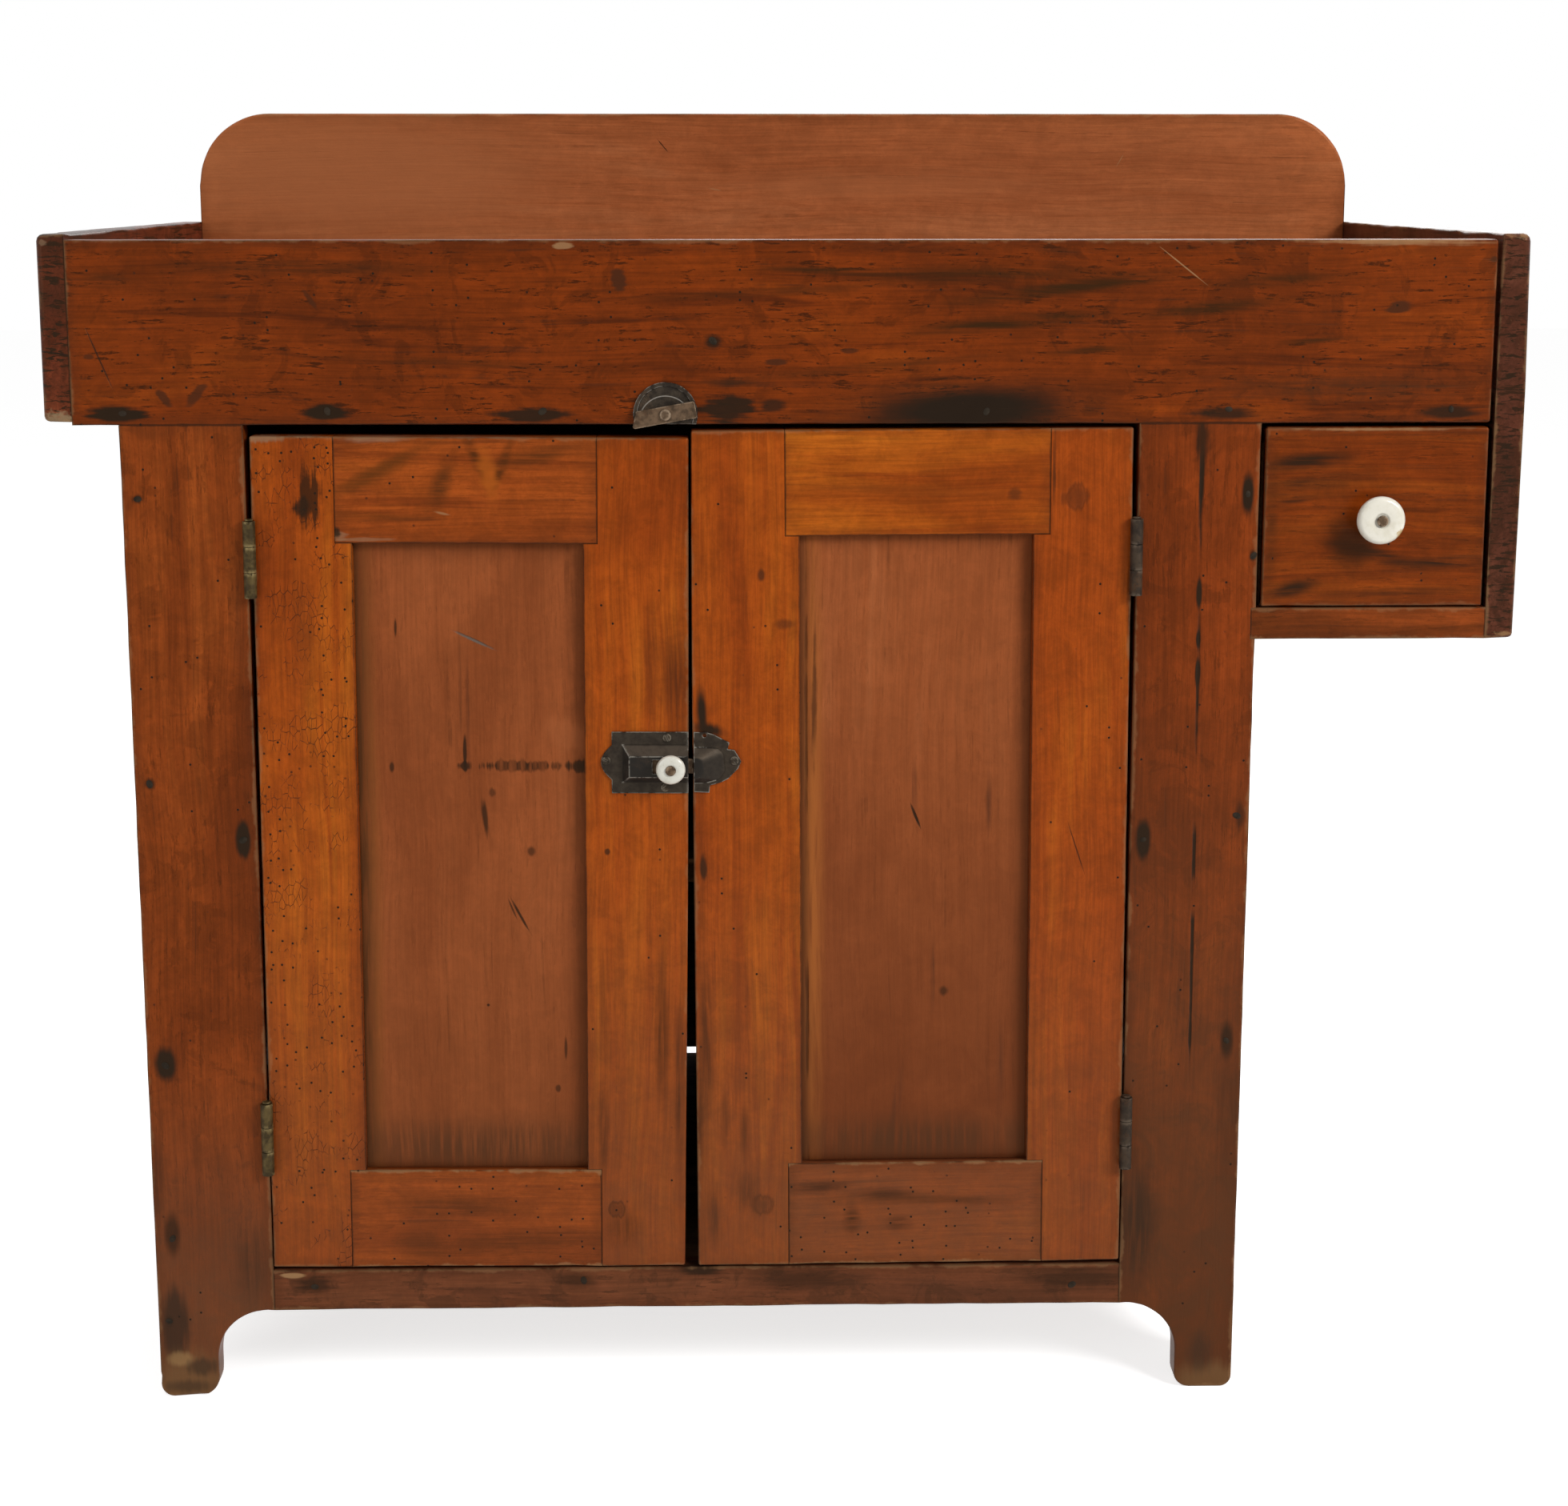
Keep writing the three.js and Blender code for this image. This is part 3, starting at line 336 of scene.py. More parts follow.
def woodMaterial(name, board):
    paint = Paint(bpy.data.materials.new(name))
    wood = {**woods[board["wood"]], **board["tint"]}
    low, high = board["low"], board["high"]
    place = paint.place()
    if board["lean"]:  # a door hangs a little out of plumb, and its boards with it
        pivot, angle = board["lean"]
        place = paint.mapped(place, tuple(pivot), (1, 1, 1), angle, "TEXTURE")
    seed = sum(ord(letter) for letter in name) * 0.137 % 7
    stretch, short, fine = (tuple(share if axis == board["grain"] else 1 for axis in "xyz")
                            for share in (0.055, 0.13, 0.02))  # patterns are this much longer along the grain
    drift = paint.node("ShaderNodeVectorMath", {"operation": "MULTIPLY_ADD"},
                       {0: paint.noise(place, 4.5, 1.0).output("Color"), 1: (0.014,) * 3, 2: place})
    along = paint.mapped(drift, (seed, seed * 2, -seed), stretch)
    thread = paint.mapped(drift, (-seed, seed, seed * 3), fine)
    wobble = paint.noise(place, 90.0, 3.0, 0.6)
    strand = paint.noise(along, 230.0, 2.0, 0.6)
    broad = paint.noise(paint.mapped(place, (seed * 5, -seed, seed), tuple(0.25 + 0.75 * s for s in stretch)),
                        9.0, 3.0, 0.55, 0.6)
    figure = paint.noise(along, 42.0, 4.0, 0.62, 1.2)
    fibre = paint.noise(thread, 420.0, 3.0, 0.7)
    pores = paint.noise(thread, 210.0, 2.0, 0.6, 0.4)
    bruise = paint.noise(place, 28.0, 4.0, 0.65, 0.8)
    mottle = paint.noise(place, 48.0, 6.0, 0.78, 0.4)
    rings = paint.noise(paint.mapped(drift, (seed, -seed, seed * 2), stretch), 12.0, 2.0)
    dashes = paint.noise(paint.mapped(drift, (seed * 2, seed, -seed), short), 300.0, 4.0, 0.7)

    tone = broad.ramp(0.28, 0.72)
    color = paint.mix(wood["dark"], wood["mid"], tone.ramp(0.0, 0.5, wood.get("clear", 0.25), 1.0))
    color = paint.mix(color, wood["light"], tone.ramp(0.45, 1.0) * figure.ramp(0.35, 0.75))
    color = paint.mix(color, wood["dark"],
                      (rings * 170.0).math("SINE").ramp(0.0, 1.0, 0.0, 0.22) * bruise.ramp(0.3, 0.6))
    color = paint.mix(color, wood["dark"], figure.ramp(0.47, 0.33, 0.0, wood["streak"]))
    color = paint.vary(color, fibre, wood.get("fibre", 0.16))
    flecks = pores.ramp(0.37, 0.31) * bruise.ramp(0.42, 0.62) * wood["fleck"]
    color = paint.mix(color, knotColor, flecks)
    color = paint.vary(color, mottle, wood.get("mottle", 0.20))
    color = paint.mix(color, tuple(c * 0.25 for c in wood["dark"]),
                      dashes.ramp(0.56, 0.60) * mottle.ramp(0.44, 0.56) * wood["dash"])
    if wood.get("blotch"):
        color = paint.mix(color, tuple(c * 0.3 for c in wood["dark"]),
                          bruise.ramp(0.53, 0.60) * mottle.ramp(0.40, 0.50) * wood["blotch"])
    if board["checks"]:  # fine cross checks in end grain
        checks = paint.noise(paint.mapped(place, (seed, 0, 0), (0.2, 0.05, 1)), 300.0, 4.0, 0.65, 0.5)
        color = paint.mix(color, stainColor, checks.ramp(0.53, 0.58, 0.0, 0.95))

    x, y, z = paint.split(place)
    gaps = [(end - start) / 2 - (part - (end + start) / 2).size()
            for part, start, end in zip((x, y, z), low, high)]
    edge = arrisGap(*gaps)
    openSides = board.get("rubbed", board["open"])
    free = arrisGap(openGap(x, low[0], high[0], openSides, "x"), gaps[1],
                    openGap(z, low[2], high[2], openSides, "z"))

    dull = z.ramp(board["dullTop"], board["dullFoot"], 0.0, board["dull"])
    color = paint.mix(color, board["dullColor"], (dull * (0.6 + 0.8 * bruise)).low(1.0))
    color = paint.mix(color, knotColor,
                      (edge + (bruise - 0.5) * 0.02).ramp(0.0, board["grimeReach"], board["grime"], 0.0))
    color = paint.mix(color, stainColor, (edge + (wobble - 0.5) * 0.0016).ramp(0.0004, 0.0014, 0.7, 0.0))

    rub = (free + (wobble - 0.5) * 0.005 + (bruise - 0.5) * 0.012).ramp(0.0, 0.0026, board["rub"], 0.0)
    height = 0.35 * fibre + 0.5 * figure + 0.6 * bruise - 0.7 * flecks
    worn = rub
    cuts = []
    for mark in board["spots"]:
        mask = markMask(paint, place, mark, wobble, strand)
        usual = wood["light"] if mark["kind"] == "light" else markColors[mark["kind"]]
        color = paint.mix(color, mark["color"] or usual, mask)
        if mark["kind"] in ("scratch", "crack", "ring"):
            cuts.append(mask)
        if mark["kind"] == "worn":
            worn = worn.high(mask)
    color = paint.mix(color, wornColor, rub)
    if board["worms"]:
        cells = paint.cells(x, z, "Distance")
        pick = paint.node("ShaderNodeSeparateColor", {}, {0: cells.output("Color")})
        holes = cells.ramp(0.085, 0.11, 1.0, 0.0) * pick.ramp(1 - board["worms"], 1.02 - board["worms"])
        holes = holes * gaps[1].ramp(0.001, 0.0005) * paint.noise(place, 13.0, 2.0).ramp(0.43, 0.50)
        color = paint.mix(color, stainColor, holes)
        cuts.append(holes)
    if board["craze"]:  # varnish cracked into small cells
        warped = paint.noise(place, 60.0, 3.0, 0.6)
        cells = paint.cells(x * 2.2 + warped * 0.01, z + warped * 0.008, "Distance", "DISTANCE_TO_EDGE")
        cracks = (cells.ramp(0.012, 0.045, 1.0, 0.0) * bruise.ramp(0.50, 0.58) * mottle.ramp(0.42, 0.52)
                  * board["craze"])
        color = paint.mix(color, knotColor, cracks)
        cuts.append(cracks)
    depth = 0.0
    for cut in cuts:
        depth = cut.high(depth)
    if cuts:
        height = height - 2.2 * depth
    roughness = (wood["rough"] + (bruise - 0.5) * 0.25 + worn * 0.25).high(0.12)
    return paint.finish(color, roughness, height, 0.0004, specular=0.2, tint=(1.0, 0.5, 0.2),
                        coat=((1.0 - worn) * wood["coat"] * 0.12).high(0.0))


# Boards: each is a copy of its solid with worn, uneven arrises

def neighbourTrees():
    trees = {}
    for body, members in frame["record"]["behaviour"]["bodies"].items():
        for node in members:
            mesh = frame["nodes"][node].data
            points = [v.co.copy() for v in mesh.vertices]
            faces = [tuple(p.vertices) for p in mesh.polygons]
            trees[node] = (body, BVHTree.FromPolygons(points, faces), *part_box(node))
    return trees


trees = neighbourTrees()


def nearNeighbour(point, node, body, reach=0.0008):
    for other, (otherBody, tree, low, high) in trees.items():
        if other == node or otherBody != body:
            continue
        if any(point[i] < low[i] - reach or point[i] > high[i] + reach for i in range(3)):
            continue
        if tree.find_nearest(point, reach)[0] is not None:
            return True
    return False


def cutAcross(piece, axis, lean, step=0.022):  # cuts a board into short lengths, so that its arrises can vary
    along = Vector([1.0 if i == axis else 0.0 for i in range(3)])
    if lean:
        along = Matrix.Rotation(lean[1], 3, "Y") @ along
    spans = [v.co.dot(along) for v in piece.data.vertices]
    start, end = min(spans), max(spans)
    count = max(1, round((end - start) / step))

    def runsThrough(edge):  # a flat seam along a whole length would cross the rounded arrises
        way = abs((edge.verts[1].co - edge.verts[0].co).dot(along))
        flat = len(edge.link_faces) == 2 and edge.calc_face_angle(1.0) < math.radians(1)
        return flat and way > 0.9 * (end - start) / count

    with editing(piece):
        for i in range(1, count):
            level = start + (end - start) * i / count
            if min(abs(level - s) for s in spans) >= 0.004:
                bisect(along * level, along)
        bpy.ops.mesh.select_mode(type="EDGE")
        bpy.ops.mesh.select_all(action="DESELECT")
        if choose(piece, "edges", runsThrough):
            bpy.ops.mesh.dissolve_edges(use_verts=True)


jointArris = 0.00025  # rounding where a board meets its neighbour


def markArrises(piece, node, board):  # marks the arrises to round, and how worn each point on them is
    body = trees[node][0]
    low, high = board["low"], board["high"]
    grid = bmesh.new()
    grid.from_mesh(piece.data)
    layer = grid.edges.layers.float.new("bevel_weight_edge")
    sides, joints = {}, {}
    for edge in grid.edges:
        if len(edge.link_faces) != 2 or edge.calc_face_angle(0.0) < math.radians(30):
            continue
        middle = (edge.verts[0].co + edge.verts[1].co) / 2
        local = board["toBoard"] @ middle
        gaps = sorted(min(local[i] - low[i], high[i] - local[i]) for i in range(3))
        if gaps[1] > tiny and min(local[1] - low[1], high[1] - local[1]) > tiny:
            continue
        joint = any(nearNeighbour(middle + face.normal * 0.0004, node, body) for face in edge.link_faces)
        for i, axis in ((0, "x"), (2, "z")):
            for end, level in (("Low", low[i]), ("High", high[i])):
                if abs(local[1] - low[1]) < tiny and abs(local[i] - level) < tiny:
                    sides.setdefault(axis + end, []).append((joint, edge.calc_length()))
        edge[layer] = 1.0
        for corner in edge.verts:
            joints[corner] = joints.get(corner, False) or joint
    worn = []
    for corner, joint in joints.items():
        point = corner.co.copy()
        wear, most = 0.75 + 0.7 * noise.noise(point * 31.0) + 0.45 * noise.noise(point * 110.0), 2.2
        for x0, x1, z0, z1, factor, deep in board["battered"]:
            if x0 <= point.x <= x1 and z0 <= point.z <= z1 and point.y < deep:
                wear = max(wear, 0.8) * factor * (1.0 + 0.6 * noise.noise(point * 70.0))
                most = 3.4
        if min(edge.calc_length() for edge in corner.link_edges) < 0.004:
            wear = min(wear, 0.9)
        worn.append((point, jointArris / board["arris"] if joint else max(0.35, min(wear, most))))
    board["open"] = {side for side, found in sides.items()
                     if sum(way for joint, way in found if joint) < 0.5 * sum(way for joint, way in found)}
    grid.to_mesh(piece.data)
    grid.free()
    return worn


def wearArrises(piece, board, worn, before):  # scales each rounding about the arris point it came from
    known, arris = nearest(before), nearest([point for point, wear in worn])
    for corner in piece.data.vertices:
        if known.find(corner.co)[2] < 0.00001:
            continue
        point, i, reach = arris.find(corner.co)
        if reach < 2.0 * board["arris"]:
            corner.co = point + (corner.co - point) * worn[i][1]


def roundToe(piece, radii):  # rounds the foot's two lower corners, each by its own radius
    foot = [v.co.x for v in piece.data.vertices if v.co.z < 0.03]
    corners = ((1, min(foot), radii[0]), (-1, max(foot), radii[1]))
    with editing(piece):
        for side, x, radius in corners:
            bisect((x + side * radius, 0, 0), (1, 0, 0))
            bisect((0, 0, radius), (0, 0, 1))
    middle = math.radians(45)
    for side, x, radius in corners:
        for corner in piece.data.vertices:
            across, up = radius - side * (corner.co.x - x), radius - corner.co.z
            if across > 0.0003 and up > 0.0003:
                angle = middle + (math.atan2(up, across) - middle) * 1.3
                corner.co.x = x + side * radius * (1 - math.cos(angle))
                corner.co.z = radius * (1 - math.sin(angle))


def planeEdge(piece, board):  # the lock edge isn't quite straight: how far it lies off at each height
    side, line = board["planed"]
    for corner in piece.data.vertices:
        x = (board["toBoard"] @ corner.co).x
        gap = board["high"].x - x if side == "high" else x - board["low"].x
        for (top, first), (foot, last) in zip(line, line[1:]):
            if foot <= corner.co.z <= top:
                shift = last + (first - last) * (corner.co.z - foot) / (top - foot)
                corner.co.x += shift * max(0.0, 1.0 - gap / 0.02)
                break
    if side == "low":
        board["low"].x += line[-1][1]


def makeBoard(node, board):
    piece = copyOf(node, node + "_board")
    mergeCopy(piece)
    if "toe" in board:
        roundToe(piece, board["toe"])
    lean = board["lean"]
    back = Matrix.Identity(4)
    if lean:
        back = (Matrix.Translation(lean[0]) @ Matrix.Rotation(lean[1], 4, "Y")).inverted()
    board["toBoard"] = back
    points = [back @ v.co for v in piece.data.vertices]
    front = min(p.y for p in points)
    face = [p for p in points if p.y < front + 0.0003]
    board["low"] = Vector((min(p.x for p in face), front, min(p.z for p in face)))
    board["high"] = Vector((max(p.x for p in face), max(p.y for p in points), max(p.z for p in face)))
    board["spots"] = []
    for row in board["marks"]:
        mark = {**usualMark, **dict(zip(markParts, row))}
        mark["at"] = tuple(back @ Vector((mark["x"] / 1000, board["face"], mark["z"] / 1000)))
        mark["size"] = (mark["wide"] / 1000, markDepth, mark["high"] / 1000)
        board["spots"].append(mark)
    cutAcross(piece, "xyz".index(board["grain"]), lean)
    worn = markArrises(piece, node, board)
    before = [v.co.copy() for v in piece.data.vertices]
    selectOnly(piece)
    bpy.ops.object.shade_smooth()
    setBevel(piece, board["arris"], 3, limit_method="WEIGHT", use_clamp_overlap=False)
    applyAll(piece)
    wearArrises(piece, board, worn, before)
    if "planed" in board:
        planeEdge(piece, board)
    piece.modifiers.new("whole", "TRIANGULATE").min_vertices = 5
    piece.modifiers.new("level", "WEIGHTED_NORMAL").weight = 100
    applyAll(piece)
    finishPiece(piece, trees[node][0], board["slot"], woodMaterial(node + "_wood", board), node)


def doorLean(prefix, degrees):
    hinge = next(j for j in frame["joints"] if j["name"] == prefix + "_hinge")
    return Vector(hinge["pos_m"]), math.radians(degrees)


leans = {"left": doorLean("left_door", 0.32), "right": doorLean("right_door", -0.3)}
markParts = ("kind", "x", "z", "wide", "high", "soft", "share", "ragged", "turn", "color", "broken")
usualMark = {"soft": 0.4, "share": 1.0, "ragged": 0.9, "turn": 0, "color": None, "broken": 26.0}
usualBoard = {"dull": 0.35, "dullTop": 0.42, "dullFoot": 0.02, "dullColor": markColors["dull"], "grime": 0.35,
              "grimeReach": 0.012, "rub": 0.25, "worms": 0, "craze": 0, "checks": False, "tint": {},
              "battered": [], "marks": [], "face": doorFace, "lean": None}

# Each mark: kind, its place x and z and its half width and half height in mm, then as in markParts
boards = {
    "tray_front": {
        "wood": "tray", "slot": "tray_wood", "grain": "x", "arris": 0.0022, "grime": 0.3, "dull": 0.0,
        "rubbed": {"xLow", "xHigh", "zHigh"},
        "battered": [(0.40, 0.56, 0.93, 0.96, 1.4, 0.0), (-0.56, -0.50, 0.93, 0.96, 1.2, 0.0)], "worms": 0.1,
        "marks": [
            ("dull", 141.2, 815, 88, 20, 0.8, 1, 0.45, -1.5, (0.022, 0.007, 0.003)),
            ("stain", 141.2, 814, 68, 16, 0.65, 1, 0.3, -2.5, (0.003, 0.003, 0.003)),
            ("stain", -44, 816.6, 22.7, 10.7, 0.4, 0.95, 1.3),
            ("stain", -11.8, 817.7, 10.7, 5, 0.5, 0.85, 1.1),
            ("dull", -44, 835.8, 17.6, 3.2, 0.6, 0.9, 1.2, 0, (0.022, 0.007, 0.003)),
            ("stain", -198, 811, 27, 6, 0.45, 0.95, 1.1), ("stain", -357.5, 813, 16.5, 6.2, 0.4),
            ("stain", -517, 811.5, 22, 6.2, 0.4), ("stain", 338, 812, 24, 5, 0.6, 0.9),
            ("stain", 516, 812, 22, 5, 0.6, 0.9), ("stain", -58, 867, 8, 6, 0.4, 0.9),
            ("knot", -130.2, 914.4, 5.5, 8.5, 0.35, 0.95, 0.6, -15),
            ("knot", 473.5, 893.4, 9, 4.5, 0.35, 0.95, 0.9, -12),
            ("knot", -481.4, 824, 7.5, 3.5, 0.35, 0.9, 0.9, 50),
            ("knot", -456.6, 827, 11.5, 4, 0.35, 0.85, 0.9, -50), ("knot", -9.2, 851.7, 8.5, 2.4, 0.4, 0.9),
            ("knot", -538, 856, 4.5, 2.2, 0.4, 0.8), ("knot", 48, 860, 6, 2, 0.4, 0.8),
            ("dull", 219.7, 908.6, 87.6, 5, 0.7, 1, 0.35, -7.2, soot),
            ("dull", 142.3, 918.5, 85.1, 5.7, 0.9, 0.75, 0.35, -1, soot),
            ("dull", 27.7, 921.6, 45.4, 2.5, 0.7, 0.8, 0.35, 2.5, soot),
            ("dull", 165.7, 881.1, 67.4, 5, 0.7, 1, 0.35, -5.7, soot),
            ("dull", 236.8, 860.7, 30.2, 2.5, 0.7, 0.8, 0.35, -6, soot),
            ("dull", 375.1, 914, 44.1, 4.4, 0.8, 0.75, 0.35, -3.5, soot),
            ("dull", 326.7, 892.6, 49.1, 4.4, 0.8, 0.85, 0.35, -6, soot),
            ("dull", 406.5, 867.2, 25.2, 1.9, 0.7, 0.8, 0.35, -4, soot),
            ("dull", 426.6, 831.3, 75.6, 10.1, 0.9, 0.75, 2.4, 0, (0.03, 0.01, 0.004)),
            ("dull", -370, 924, 90, 5.5, 0.7, 0.7, 0.9, 0.5, maroon),
            ("dull", -525, 915, 20, 6, 0.7, 0.7, 0.9, 0, maroon),
            ("dull", -20, 905, 90, 3, 0.6, 0.6, 0.9, -3, claret),
            ("dull", 70, 848, 90, 3.6, 0.7, 0.6, 0.9, -5, claret),
            ("dull", -270, 852, 100, 3, 0.7, 0.5, 0.9, 3, claret),
            ("worn", -172.8, 940.5, 6.5, 2, 0.4, 0.7, 1.6), ("worn", 478.3, 943, 55, 2.2, 0.9, 0.6, 2.4),
            ("scratch", -530.4, 855.6, 0.6, 22.1, 0.5, 0.75, 0.4, -22),
            ("knot", -367.1, 900, 1.9, 8.8, 0.5, 0.8, 0.6, -35),
            ("worn", 305, 925, 0.5, 20, 0.5, 0.7, 0.5, -52), ("knot", 545.9, 930, 3, 2.5, 0.6)]},
    "tray_left_end": {
        "wood": "end", "slot": "end_wood", "grain": "y", "arris": 0.0032, "grime": 0.2, "rub": 0.3,
        "dull": 0.0, "checks": True,
        "tint": {"mid": (0.1014, 0.0187, 0.008), "light": (0.182, 0.0396, 0.016)},
        "battered": [(-0.58, -0.56, 0.93, 0.96, 2.2, -0.2), (-0.58, -0.56, 0.79, 0.82, 2.2, -0.2)],
        "marks": [
            ("worn", -569, 943, 3, 2, 0.6, 0.6, 1.5, 0, (0.2, 0.12, 0.07)),
            ("worn", -565, 807, 11, 6.2, 0.6, 0.75, 1.6, 0, (0.26, 0.18, 0.1)),
            ("crack", -564, 859, 10, 0.6, 0.6, 1, 0.9, 8, None, 60)]},
    "tray_right_end": {
        "wood": "end", "slot": "end_wood", "grain": "y", "arris": 0.0030, "grime": 0.2, "rub": 0.3,
        "dull": 0.0, "checks": True,
        "battered": [(0.56, 0.58, 0.93, 0.96, 2.0, -0.2), (0.56, 0.58, 0.82, 0.84, 1.6, -0.2)],
        "marks": [
            ("worn", 570, 948, 4, 2, 0.6, 0.5, 1.5)]},
    "drawer_bay_side": {
        "wood": "end", "slot": "end_wood", "grain": "y", "arris": 0.0030, "grime": 0.2, "rub": 0.3,
        "dull": 0.0, "checks": True,
        "battered": [(0.56, 0.58, 0.62, 0.65, 2.0, -0.2), (0.56, 0.58, 0.82, 0.84, 1.6, -0.2)],
        "marks": [
            ("worn", 568, 636, 6, 2, 0.6, 0.6, 1.5)]},
    "backsplash": {
        "wood": "back", "slot": "panel_wood", "grain": "x", "arris": 0.0030, "grime": 0.25, "rub": 0.3,
        "dull": 0.0, "face": splashFace,
        "marks": [
            ("light", -400, 995, 170, 60, 0.9, 0.75, 0.4),
            ("dull", 300, 990, 180, 50, 0.9, 0.35, 0.4, 0, (0.2, 0.05, 0.017)),
            ("light", 100, 985, 150, 14, 0.9, 0.4), ("scratch", -109, 1022, 0.6, 7, 0.5, 0.7, 0.9, -40),
            ("worn", -57.4, 980.2, 6, 0.6, 0.5, 0.5, 0.9, 10),
            ("worn", 332.7, 1008.2, 0.5, 6, 0.5, 0.5, 0.9, 30)]},
    "left_stile": {
        "wood": "stile", "slot": "case_wood", "grain": "z", "arris": 0.0022, "grime": 0.25, "dull": 0.75,
        "dullTop": 0.33, "dullFoot": 0.04, "worms": 0.06,
        "battered": [(-0.53, -0.46, -0.01, 0.02, 2.6, 0.0)], "toe": (0.0108, 0.0170),
        "marks": [
            ("stain", -433.4, 473.2, 6, 15, 0.35, 1, 0.3), ("stain", -502.6, 287, 8.5, 14, 0.45, 1, 0.3),
            ("stain", -502.9, 142, 6, 17, 0.6, 0.8, 0.3), ("stain", -505.1, 746.1, 3.5, 3.5, 0.6, 0.8),
            ("stain", -505.5, 519.2, 4.2, 4.5, 0.6, 0.8), ("stain", -508.5, 66.5, 3, 4.5, 0.6, 0.8),
            ("dull", -438.8, 115, 12, 30, 0.8, 0.7, 0.9, 0, (0.03, 0.014, 0.008)),
            ("dull", -513.7, 192.1, 5, 30, 0.8, 0.7, 0.9, 0, (0.03, 0.01, 0.005)),
            ("dull", -431, 645, 5, 35, 0.8, 0.5, 0.9, 0, (0.05, 0.012, 0.004)),
            ("stain", -504, 62, 11, 33, 0.5, 0.85, 0.5, 0, (0.018, 0.011, 0.008)),
            ("worn", -493.4, 6, 30, 30, 0.6, 0.75, 0.35, 0, (0.15, 0.078, 0.033)),
            ("worn", -500, 33, 10, 6, 0.6, 0.6, 0.6, 0, (0.3, 0.17, 0.07)),
            ("stain", -483, 26, 12, 7, 0.7, 0.7, 0.7, 0, (0.025, 0.017, 0.012)),
            ("stain", -496, 9, 18, 5, 0.8, 0.6, 0.7, 0, (0.025, 0.017, 0.012))]},
    "right_stile": {
        "wood": "stile", "slot": "case_wood", "grain": "z", "arris": 0.0022, "grime": 0.25, "dull": 0.9,
        "dullTop": 0.70, "dullFoot": 0.12, "dullColor": (0.070, 0.023, 0.009), "worms": 0.06,
        "tint": {"mid": (0.198, 0.0326, 0.0044), "light": (0.2805, 0.0546, 0.007)},
        "battered": [(0.31, 0.38, -0.01, 0.02, 2.6, 0.0)], "toe": (0.0125, 0.0097),
        "marks": [
            ("stain", 323.7, 792, 4, 16, 0.6, 0.9, 1.4), ("stain", 360.5, 748, 4.8, 16, 0.5, 1, 0.3),
            ("stain", 284.8, 469.7, 6.2, 17, 0.4, 1, 0.3), ("stain", 356.7, 301.1, 5, 15, 0.6, 0.9, 0.3),
            ("stain", 366.4, 699.2, 3, 4, 0.6, 0.8), ("stain", 362, 489.1, 4, 11, 0.7, 0.7),
            ("stain", 323.8, 764, 2.1, 36, 0.5, 1, 0.4, 0.5), ("stain", 324.3, 669, 2.4, 13, 0.4, 1, 0.3),
            ("stain", 324.6, 632.5, 2, 7, 0.4, 1, 0.3), ("stain", 324.9, 606, 2.4, 12, 0.4, 1, 0.3),
            ("crack", 323.7, 770, 1.6, 42, 0.6, 1, 0.9, 0.3, None, 14),
            ("crack", 325, 620, 1.3, 90, 0.6, 1, 0.9, -0.3, None, 18),
            ("crack", 326.2, 420, 1.2, 120, 0.6, 1, 0.9, -0.3, None, 18),
            ("crack", 326.8, 305, 1.1, 18, 0.6, 1, 0.9, 0, None, 9),
            ("dull", 287, 145, 15, 50, 0.7, 0.85, 0.9, 0, (0.016, 0.009, 0.006)),
            ("dull", 324, 790, 6, 15, 0.8, 0.6, 0.9, 0, (0.03, 0.008, 0.003)),
            ("dull", 360, 240, 9, 50, 0.9, 0.5, 0.9, 0, (0.03, 0.01, 0.005)),
            ("worn", 352.5, 2, 29, 19, 0.6, 0.7, 0.4, 0, (0.15, 0.078, 0.033)),
            ("stain", 343, 30, 9, 16, 0.7, 0.6, 0.5, 0, (0.025, 0.015, 0.01))]},
    "apron_rail": {
        "wood": "apron", "slot": "case_wood", "grain": "x", "arris": 0.0020, "grime": 0.25, "dull": 0.3,
        "marks": [
            ("worn", -405, 105, 8.5, 2.2, 0.4, 0.95), ("stain", -388.3, 96.5, 14, 7, 0.7, 0.75),
            ("stain", -175, 100, 16, 6, 0.8, 0.7), ("stain", -72, 108, 17, 5, 0.6, 0.9),
            ("stain", 10, 98, 40, 8.5, 0.9, 0.65), ("stain", 238, 96, 45, 9, 0.9, 0.7)]},
    "drawer_front": {
        "wood": "drawer", "slot": "tray_wood", "grain": "x", "arris": 0.0026, "grime": 0.3, "dull": 0.0,
        "rub": 0.15, "worms": 0.05,
        "marks": [
            # pale chips along the top edge, partly a painted highlight
            ("worn", 460, 798.5, 50, 1, 0.8, 0.6, 2),
            ("dull", 405.5, 773.8, 32.8, 6.3, 0.7, 1, 0.4, -6, pitch),
            ("dull", 417.4, 757.5, 34.7, 5, 0.7, 1, 0.4, -6, pitch),
            ("dull", 398.4, 743, 13.9, 2.5, 0.7, 0.8, 0.4, -8, pitch),
            # a dark streak, whose thick left end also paints part of the knob's shadow
            ("dull", 460.6, 700.4, 32.8, 5, 0.7, 1, 0.4, 14, pitch),
            ("dull", 517.8, 693.9, 35.3, 3.8, 0.7, 1, 0.4, -2, pitch),
            ("dull", 397.6, 672.6, 18.9, 5.7, 0.7, 1, 0.4, -14, pitch),
            ("dull", 480.2, 669.7, 50.4, 2.5, 0.8, 0.7, 0.4, -2, pitch),
            ("dull", 380.2, 720.9, 3.8, 37.8, 0.9, 0.5, 0.9, 0, maroon),
            # painted shadow of the knob, below and left of it, over some grime
            ("stain", 443.8, 708.1, 16.4, 16.4, 0.9, 0.8, 0.3, 0, (0.02, 0.005, 0.0015)),
            ("worn", 482, 726, 3, 2.5, 0.5, 0.6)]},
    "drawer_bay_floor": {
        "wood": "drawer", "slot": "case_wood", "grain": "x", "arris": 0.0016, "grime": 0.2, "dull": 0.0,
        "tint": {"mid": (0.2106, 0.0396, 0.006), "light": (0.3042, 0.0682, 0.011)}},
    "left_door_hinge_stile": {
        "wood": "door", "slot": "door_wood", "grain": "z", "arris": 0.0017, "grime": 0.18, "worms": 0.42,
        "craze": 0.8,
